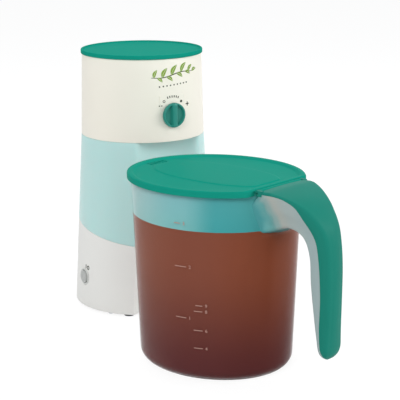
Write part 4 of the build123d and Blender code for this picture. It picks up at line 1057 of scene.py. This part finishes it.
rings = [[hugging(*p) for p in ring] for ring in handle_sections(split_line, front_line, 4.5, 0.6)[:-1]]
hand_over(pitcher_piece("handle_inside", rings, clouded_polypropylene), "pitcher", "pitcher_clear")

# Glossy teal polypropylene on the pitcher: the same colour with a soft, clear highlight.
gloss_teal = plastic("gloss_teal_polypropylene", "#1a7869", "#1e7e6f", 0.42, grain=0.03, gloss=0.05)
cover = pitcher_piece("handle_back", handle_sections(split_line, back_line, 7.5, 1.0)[:-1], gloss_teal)
hand_over(cover, "pitcher", "teal", "handle_cover")
# Two ears reach from the cover to the lid's hinge line, one beyond each end of its barrel.
EAR_RADIUS_MM = 3.0
EAR_BACK_MM = 5.5
for side, name in ((-1, "hinge_ear_near"), (1, "hinge_ear_far")):
    outline = [(EAR_BACK_MM, -EAR_RADIUS_MM), (EAR_BACK_MM, 2.6)]
    outline += [(EAR_RADIUS_MM * cos(t), EAR_RADIUS_MM * sin(t)) for t in np.linspace(1.2, 4.71, 14)]
    rings = []
    for y, inset in ((30.9, 0.4), (31.3, 0), (35.0, 0), (35.4, 0.4)):
        kept = 1 - inset / EAR_RADIUS_MM
        rings.append([(HINGE_X_MM + 1.5 + (x - 1.5) * kept, side * y, HINGE_Z_MM + z * kept)
                      for x, z in outline])
    hand_over(pitcher_piece(name, rings, gloss_teal, 38), "pitcher", "teal")


# ---- Pitcher lid: the teal flap hinged at the handle ----
# Moulded polypropylene, oval, with a rolled rim, a flat and a low oblong panel. Its barrel turns
# on the pin between the cover's ears, and a ring below it plugs the pitcher's mouth.

LID_HALF_MM = (93.3, 83.0)
HINGE_LINE_MM = 78.1
LID_SEAT_MM = 191.0
LID_CREST_MM = 194.8
LID_FLAT_MM = 193.0
LID_SKIRT_MM = 188.6
LID_WALL_MM = 1.8
PANEL_HALF_MM = (74.0, 39.0)
PANEL_POWER = 2.3
PANEL_LIFT_MM = 0.8
PANEL_END_MM = 67.0
BARREL_HALF_MM = 30.5
BARREL_RADIUS_MM = 3.0
LID_TURNS = [radians(t) for t in (*np.arange(-40, 40.1, 1.0), *np.arange(42, 318.1, 2))]


def cut_oval(halves, power, end, blend_mm, height):
    """Ring of an oval that is cut straight across on the handle's side."""
    ring = []
    for turn in LID_TURNS:
        reach = (abs(cos(turn) / halves[0]) ** power + abs(sin(turn) / halves[1]) ** power) ** (-1 / power)
        if cos(turn) > 0.25:
            reach = soft_min(reach, end / cos(turn), blend_mm)
        ring.append((reach * cos(turn), reach * sin(turn), height))
    return ring


def lid_ring(inset, height):
    """Ring of the lid's outline, set in from its edge."""
    return cut_oval([half - inset for half in LID_HALF_MM], 2, HINGE_LINE_MM - inset, 1.6, height)


def panel_ring(inset, height):
    """Ring of the oblong panel, set in from the foot of its slope."""
    halves = [max(half - inset, least) for half, least in zip(PANEL_HALF_MM, (1, 0.6))]
    return cut_oval(halves, PANEL_POWER, max(PANEL_END_MM - inset, 1), 3, height)


rings = [lid_ring(*step) for step in (
    (INWARD_MM, LID_SEAT_MM), (LID_WALL_MM, LID_SEAT_MM), (LID_WALL_MM, LID_SKIRT_MM), (0.3, LID_SKIRT_MM),
    (0, LID_SKIRT_MM + 0.3), (0, 191), *[(i, LID_CREST_MM + l) for i, l in rounded(1.6, 5)],
    (4, LID_CREST_MM), (5, 194.6), (6, 194.1), (7, 193.5), (8, 193.1), (9.2, LID_FLAT_MM))]
rings += [panel_ring(i, LID_FLAT_MM + PANEL_LIFT_MM * share) for i, share in (
    (-1.5, 0), (-0.4, 0.05), (0.2, 0.22), (0.6, 0.52), (1.0, 0.8), (1.5, 0.96), (2.2, 1),
    (10, 1), (20, 1), (30, 1), (37, 1))]
# The jug lid's polypropylene has the cap's teal with a smoother skin, so it takes a faint sheen.
sheen_teal = plastic("sheen_teal_polypropylene", "#128a77", "#168f7c", 0.4, grain=0.04, gloss=0.005)
jug_lid = add_piece("jug_lid", lofted("jug_lid", rings), sheen_teal)

# Five small slots near the spout side let the brew run in through the closed lid.
slot_sizes = {"Count": 5, "Pitch": 5.2 * MM, "Length": 9.0 * MM, "Width": 2.4 * MM, "Depth": 12.0 * MM,
              "Place": -80.0 * MM, "Height": 191.0 * MM}
tree, given = repeat_tree("inlet_slot_steps", slot_sizes)
first = vector(tree, given["Place"], maths(tree, "MULTIPLY", given["Pitch"], -2.0), given["Height"])
row = node(tree, "GeometryNodeMeshLine", None, {"Count": given["Count"], "Start Location": first,
                                                "Offset": vector(tree, 0, given["Pitch"])})
repeat_at(tree, row, bar_of(tree, given["Length"], given["Width"], given["Depth"]))
carve(jug_lid, [grown("inlet_slots", tree, slot_sizes)])
jug_lid.data.transform(pitcher_place)
hand_over(jug_lid, "lid", "teal", "pitcher_lid")

mesh = rod((HINGE_X_MM, -BARREL_HALF_MM, HINGE_Z_MM), (HINGE_X_MM, BARREL_HALF_MM, HINGE_Z_MM),
           BARREL_RADIUS_MM)
mesh.transform(pitcher_place)
hand_over(add_piece("lid_barrel", mesh, sheen_teal), "lid", "teal")

# A thin ring under the lid plugs the pitcher's mouth everywhere but at the hinge.
PLUG_TURN = radians(61)
RING_TOP_MM = 191.4
RING_LOW_MM = 183.8
plug_out, plug_in = PITCHER_WALL_MM + 0.35, PITCHER_WALL_MM + 1.85
rings = []
for turn in np.linspace(PLUG_TURN, 2 * pi - PLUG_TURN, 120):
    ring = []
    for inset, z in ((plug_out, RING_TOP_MM), (plug_out, RING_LOW_MM + 0.4), (plug_out + 0.4, RING_LOW_MM),
                     (plug_in - 0.4, RING_LOW_MM), (plug_in, RING_LOW_MM + 0.4), (plug_in, RING_TOP_MM)):
        along, across = oval(z, inset)
        ring.append((along * cos(turn), across * sin(turn), z))
    rings.append(ring)
hand_over(pitcher_piece("lid_plug", rings, sheen_teal, 38), "lid", "teal")


# ---- Printing on the basket: a leaf sprig and the dial's marks ----
# Pad-printed ink, under a tenth of a millimetre thick. A sprig of tea leaves and a row of dots
# stand over the dial, an arc of ticks runs from light to strong, and each end has plain signs.

INK_SINK_MM = 0.05
INK_PROUD_MM = 0.07
VEIN_HALF_MM = 0.18
STEM_HEIGHT_MM = 267.2
STEM_STEPS = 40
DOTS_HEIGHT_MM = 257.6
DOT_RADIUS_MM = 0.85
SIGN_MM = 1.1


def on_basket(x, y, proud):
    """From flat print coordinates to the basket's cone, x round it and y as a height."""
    turn = x / BASKET_TOP_RADIUS_MM
    r = basket_radius(y) + proud
    return (r * sin(turn), -r * cos(turn), y)


def on_pitcher(x, y, proud):
    """From flat print coordinates to the pitcher's wall; x is in degrees from the handle."""
    along, across = oval(y, -proud)
    return (along * cos(radians(x)), across * sin(radians(x)), y)


def stroke(points, widths):
    """A printed stroke as (left, right) flat point pairs along a line of varying width."""
    points = np.array(points, float)
    if len(points) == 2:
        points = np.linspace(*points, 6)
        widths = np.linspace(*widths, 6)
    ways = np.gradient(points, axis=0)
    ways /= np.maximum(np.hypot(*ways.T), 1e-9)[:, None]
    across = np.stack((-ways[:, 1], ways[:, 0]), axis=1) * np.array(widths, float)[:, None] / 2
    return list(zip((points + across).tolist(), (points - across).tolist()))


def printed(name, strokes, lay):
    """A thin closed mesh of strokes laid on a surface."""
    points, faces = [], []
    for pairs in strokes:
        start = len(points)
        for left, right in pairs:
            for (x, y), proud in ((left, INK_PROUD_MM), (right, INK_PROUD_MM),
                                  (right, -INK_SINK_MM), (left, -INK_SINK_MM)):
                points.append([c * MM for c in lay(x, y, proud)])
        for k in range(len(pairs) - 1):
            a, b = start + 4 * k, start + 4 * k + 4
            faces += [(a + i, a + (i + 1) % 4, b + (i + 1) % 4, b + i) for i in range(4)]
        faces += [(start + 3, start + 2, start + 1, start), tuple(len(points) - 4 + i for i in range(4))]
    mesh = bpy.data.meshes.new(name)
    mesh.from_pydata(points, [], faces)
    return facing_out(mesh)


def leaf(base, angle, length, width):
    """Two half blades with a bare vein between them."""
    t = np.linspace(0, 1, 13)
    way = np.array((cos(angle), sin(angle)))
    side = np.array((-way[1], way[0]))
    bow = 0.09 * length * np.sin(pi * t)
    vein = np.array(base) + np.outer(t * length, way) + np.outer(bow, side)
    full = width * np.sin(pi * t ** 0.8) ** 0.9 / 2
    halves = []
    for turn in (-1, 1):
        half = np.maximum(full * (0.8 if turn < 0 else 1.0), 0.02)
        outer = vein + side * (turn * (half + VEIN_HALF_MM))[:, None]
        inner = vein + side * (turn * VEIN_HALF_MM)
        halves.append(list(zip(outer.tolist(), inner.tolist())))
    return halves


def spot(x, y, radius):
    """A filled round dot."""
    halves = [(radius * t, radius * sqrt(1 - t * t)) for t in np.linspace(-0.98, 0.98, 9)]
    return [((x + across, y + up), (x + across, y - up)) for across, up in halves]


def hoop(x, y, radius, width, steps):
    """A round outline."""
    turns = np.linspace(0, 2 * pi, steps)
    return stroke([(x + radius * cos(a), y + radius * sin(a)) for a in turns], [width] * steps)


def ink(name, colour, drift):
    """Matt pad-printing ink with small uneven patches."""
    return plastic(name, colour, drift, 0.55, grain_mm=0.4, grain=0.05, gloss=0.03)


# Leaf green ink over cream shows light where it is thin; the stem and signs are a dark green grey.
leaf_ink = ink("leaf_green_ink", "#6d8a35", "#9dbb55")
dark_ink = ink("dark_ink", "#232b20", "#2e372b")
stem = [(x, STEM_HEIGHT_MM + 0.1 * (x + 25) + 1.3 * sin(x / 7)) for x in np.linspace(-24, 29, STEM_STEPS)]
dark_print = [stroke(stem, [0.5 + 0.5 * sin(pi * k / (STEM_STEPS - 1)) for k in range(STEM_STEPS)])]
leaves = []
for place, angle, length, width in (
        (2, 66, 9.5, 4.0), (5, -40, 7.4, 3.4), (9, 60, 12.0, 4.8), (13, -36, 8.6, 3.8),
        (17, 56, 13.2, 5.2), (22, -32, 9.2, 4.0), (26, 52, 12.6, 5.0), (31, -24, 8.4, 3.6),
        (34, 44, 9.8, 4.0), (39, 12, 9.0, 3.8)):
    leaves += leaf(stem[place], radians(angle), length, width)
hand_over(add_piece("sprig_leaves", printed("sprig_leaves", leaves, on_basket), leaf_ink), "basket", "teal")

# The row of dots under the sprig, and the signs by the dial: a filled dot, a minus, a plus and a ring.
dark_print += [spot(-15.0 + 4.3 * k, DOTS_HEIGHT_MM + 0.3 * k, DOT_RADIUS_MM) for k in range(9)]
dark_print += [spot(11.0, 240.0, 1.5)]
dark_print += [stroke(ends, [SIGN_MM] * 2) for ends in (
    [(-16.2, 236.7), (-12.2, 236.7)], [(17.8, 236.2), (22.4, 236.2)], [(20.1, 233.9), (20.1, 238.5)])]
dark_print += [hoop(-10.2, 241.4, 1.2, 0.6, 25)]
hand_over(add_piece("dial_print", printed("dial_print", dark_print, on_basket), dark_ink), "basket", "teal")

# An even arc of short ticks over the dial, the same one turned to each place in the arc.
tick_sizes = {"Count": 6, "Radius": 20.2, "Start": radians(107.0), "Step": radians(-7.6),
              "Length": 2.4, "Width": 1.1, "Thick": 0.12}
tree, given = repeat_tree("dial_tick_steps", tick_sizes)
spots = node(tree, "GeometryNodeMeshLine", None, {"Count": given["Count"], "Offset": (0, 0, 0)})
index = node(tree, "GeometryNodeInputIndex").outputs[0]
angle = maths(tree, "MULTIPLY_ADD", index, given["Step"], given["Start"])
way = vector(tree, maths(tree, "COSINE", angle), maths(tree, "SINE", angle))
place = node(tree, "ShaderNodeVectorMath", {"operation": "SCALE"}, {0: way, "Scale": given["Radius"]})
spread = node(tree, "GeometryNodeSetPosition", None,
              {"Geometry": spots.outputs[0], "Position": place.outputs[0]})
repeat_at(tree, spread, bar_of(tree, given["Width"], given["Length"], given["Thick"]),
          vector(tree, 0, 0, maths(tree, "SUBTRACT", angle, pi / 2)))
ticks = add_piece("dial_ticks", grown("dial_ticks", tree, tick_sizes), dark_ink)
for point in ticks.data.vertices:
    x, y, z = point.co
    point.co = [c * MM for c in on_basket(x, KNOB_HEIGHT_MM + y, z + 0.01)]
hand_over(ticks, "basket", "teal")


# ---- Fill marks on the pitcher ----
# Three quart marks in one column and four cup marks beside it, each a number with a short line.
# They are printed in thin milky ink, so they stay faint against the tea.

DEGREE_MM = 1.34
FIGURE_MM = 4.6
FIGURE_THICK_MM = 0.06
LINE_WIDE_MM = 0.75
LINE_GAP = 2.6
FILL_MARKS = (("3", -74.0, 160.5, -7.0), ("2", -70.3, 117.5, -11.0), ("1", -71.0, 65.5, -10.6),
              ("9", -59.3, 79.5, -7.4), ("8", -59.3, 73.6, -8.6), ("6", -59.3, 54.0, -9.0),
              ("4", -59.3, 35.6, -9.0))
milky_ink = ink("milky_ink", "#ab8377", "#b9958a")
strokes = []
work = bmesh.new()
for text, x, y, lead in FILL_MARKS:
    strokes.append(stroke([(t, y) for t in np.linspace(x + lead, x - LINE_GAP, 5)], [LINE_WIDE_MM] * 5))
    curve = bpy.data.curves.new("figure", "FONT")
    for setting, value in (("body", text), ("size", FIGURE_MM), ("align_x", "CENTER"), ("align_y", "CENTER"),
                           ("extrude", FIGURE_THICK_MM), ("offset", 0.04), ("resolution_u", 4)):
        setattr(curve, setting, value)
    holder = add_object("figure", curve)
    flat = result_of(holder)
    bpy.data.objects.remove(holder)
    for point in flat.vertices:
        u, v, w = point.co
        point.co = [c * MM for c in on_pitcher(x + u / DEGREE_MM, y + v, w + 0.01)]
    work.from_mesh(flat)
lines = printed("fill_marks", strokes, on_pitcher)
work.from_mesh(lines)
bmesh.ops.remove_doubles(work, verts=work.verts, dist=0.00001)
work.to_mesh(lines)
work.free()
lines.transform(pitcher_place)
hand_over(add_piece("fill_marks", lines, milky_ink), "pitcher", "pitcher_clear")


# ---- Marks above the power button ----
# The usual signs for on and off, an upright bar and a ring, printed on the base in dark ink.


def on_base_left(x, y, proud):
    """From flat print coordinates to the base's left side, x round it and y as a height."""
    turn = x / BASE_RADIUS_MM
    r = lower_radius(y) + proud
    return (-r * cos(turn), -r * sin(turn), y)


marks = [hoop(7.6, 48.6, 1.8, 1.2, 33), stroke([(2.8, 47.2), (2.8, 51.6)], [1.4, 1.4])]
power_mark = add_piece("power_mark", printed("power_mark", marks, on_base_left), dark_ink)
hand_over(power_mark, "brewer", "grey_shell")


# ---- The parts inside, underneath and between: finishes for the CAD nodes ----
# Each keeps its CAD shape and gets the finish of the real part, chosen by its slot in the record.

# Moulded rubber: dark, dry and dusty, with no clear highlight.
moulded_rubber = plastic("moulded_rubber", "#3c3f40", "#4a4d4e", 0.72, grain_mm=0.5, grain=0.3)
# Extruded silicone: milky, soft-lit tube that glows a little where light passes through.
milky_silicone = plastic("milky_silicone", "#d9dcd8", "#e6e8e4", 0.36, grain=0.03,
                         **{"Subsurface Weight": 0.5, "Subsurface Radius": (1, 1, 1),
                            "Subsurface Scale": 0.002})
# Natural nylon: waxy off-white with a faint yellow cast.
natural_nylon = plastic("natural_nylon", "#d8d5c8", "#e0ddd1", 0.45, grain_mm=0.8, grain=0.1)
# Black glass-filled nylon: charcoal with a coarse, dull skin.
glass_filled_nylon = plastic("glass_filled_nylon", "#26282a", "#34373a", 0.55, grain_mm=0.7, grain=0.25)
# Drawn stainless steel: warmer and brighter, with long fine draw lines.
drawn_stainless = metal("drawn_stainless", "#b9b8b3", "#c9c8c4", 0.22, 0.3, 0.06, (5, 5, 0.6))
# Die-cast aluminium: pale, pitted and soft in its highlight.
die_cast_aluminium = metal("die_cast_aluminium", "#b7babb", "#c8cacb", 0.48, 1.1, 0.5)
# Heating element sheath: iron-nickel alloy, browned by heat.
heat_tinted_alloy = metal("heat_tinted_alloy", "#6d655c", "#8b8175", 0.42, 0.4, 0.15)
# Lead sleeves: braided glass fibre, drawn as a fine diamond weave.
glass_fibre_braid, tree, place = patterned("glass_fibre_braid")
strands = []
for lean in (1, -1):
    leaning = node(tree, "ShaderNodeMapping", None,
                   {"Vector": place, "Rotation": (0.6 * lean, 0.5, 0.8 * lean)})
    wave = node(tree, "ShaderNodeTexWave", None,
                {"Vector": leaning.outputs[0], "Scale": 1 / (6 * MM), "Distortion": 0.6})
    strands.append(wave.outputs["Fac"])
weave = maths(tree, "MULTIPLY", *strands)
surface(tree, {"Base Color": blend(tree, weave, linear("#c9c4b2"), linear("#eeebe0")), "Roughness": 0.8,
               "Normal": relief(tree, weave, 0.5, 0.2)})

finishes = {
    "grey_shell": satin_grey_abs, "tank_aqua": cloudy_aqua_san, "white_shell": cream_polypropylene,
    "teal": gloss_teal, "pitcher_clear": clear_polypropylene, "dark_rubber": moulded_rubber,
    "silicone": milky_silicone, "steel": zinc_plated_steel, "stainless": drawn_stainless,
    "aluminium": die_cast_aluminium, "inner_plastic": natural_nylon, "black_plastic": glass_filled_nylon,
    "element_sheath": heat_tinted_alloy, "wire_sleeve": glass_fibre_braid, "button_grey": cool_grey_abs,
}
for part in frame["record"]["subparts"]:
    cad = nodes[part["node"]]
    cad.data.materials.clear()
    cad.data.materials.append(finishes[part["material_slot"]])
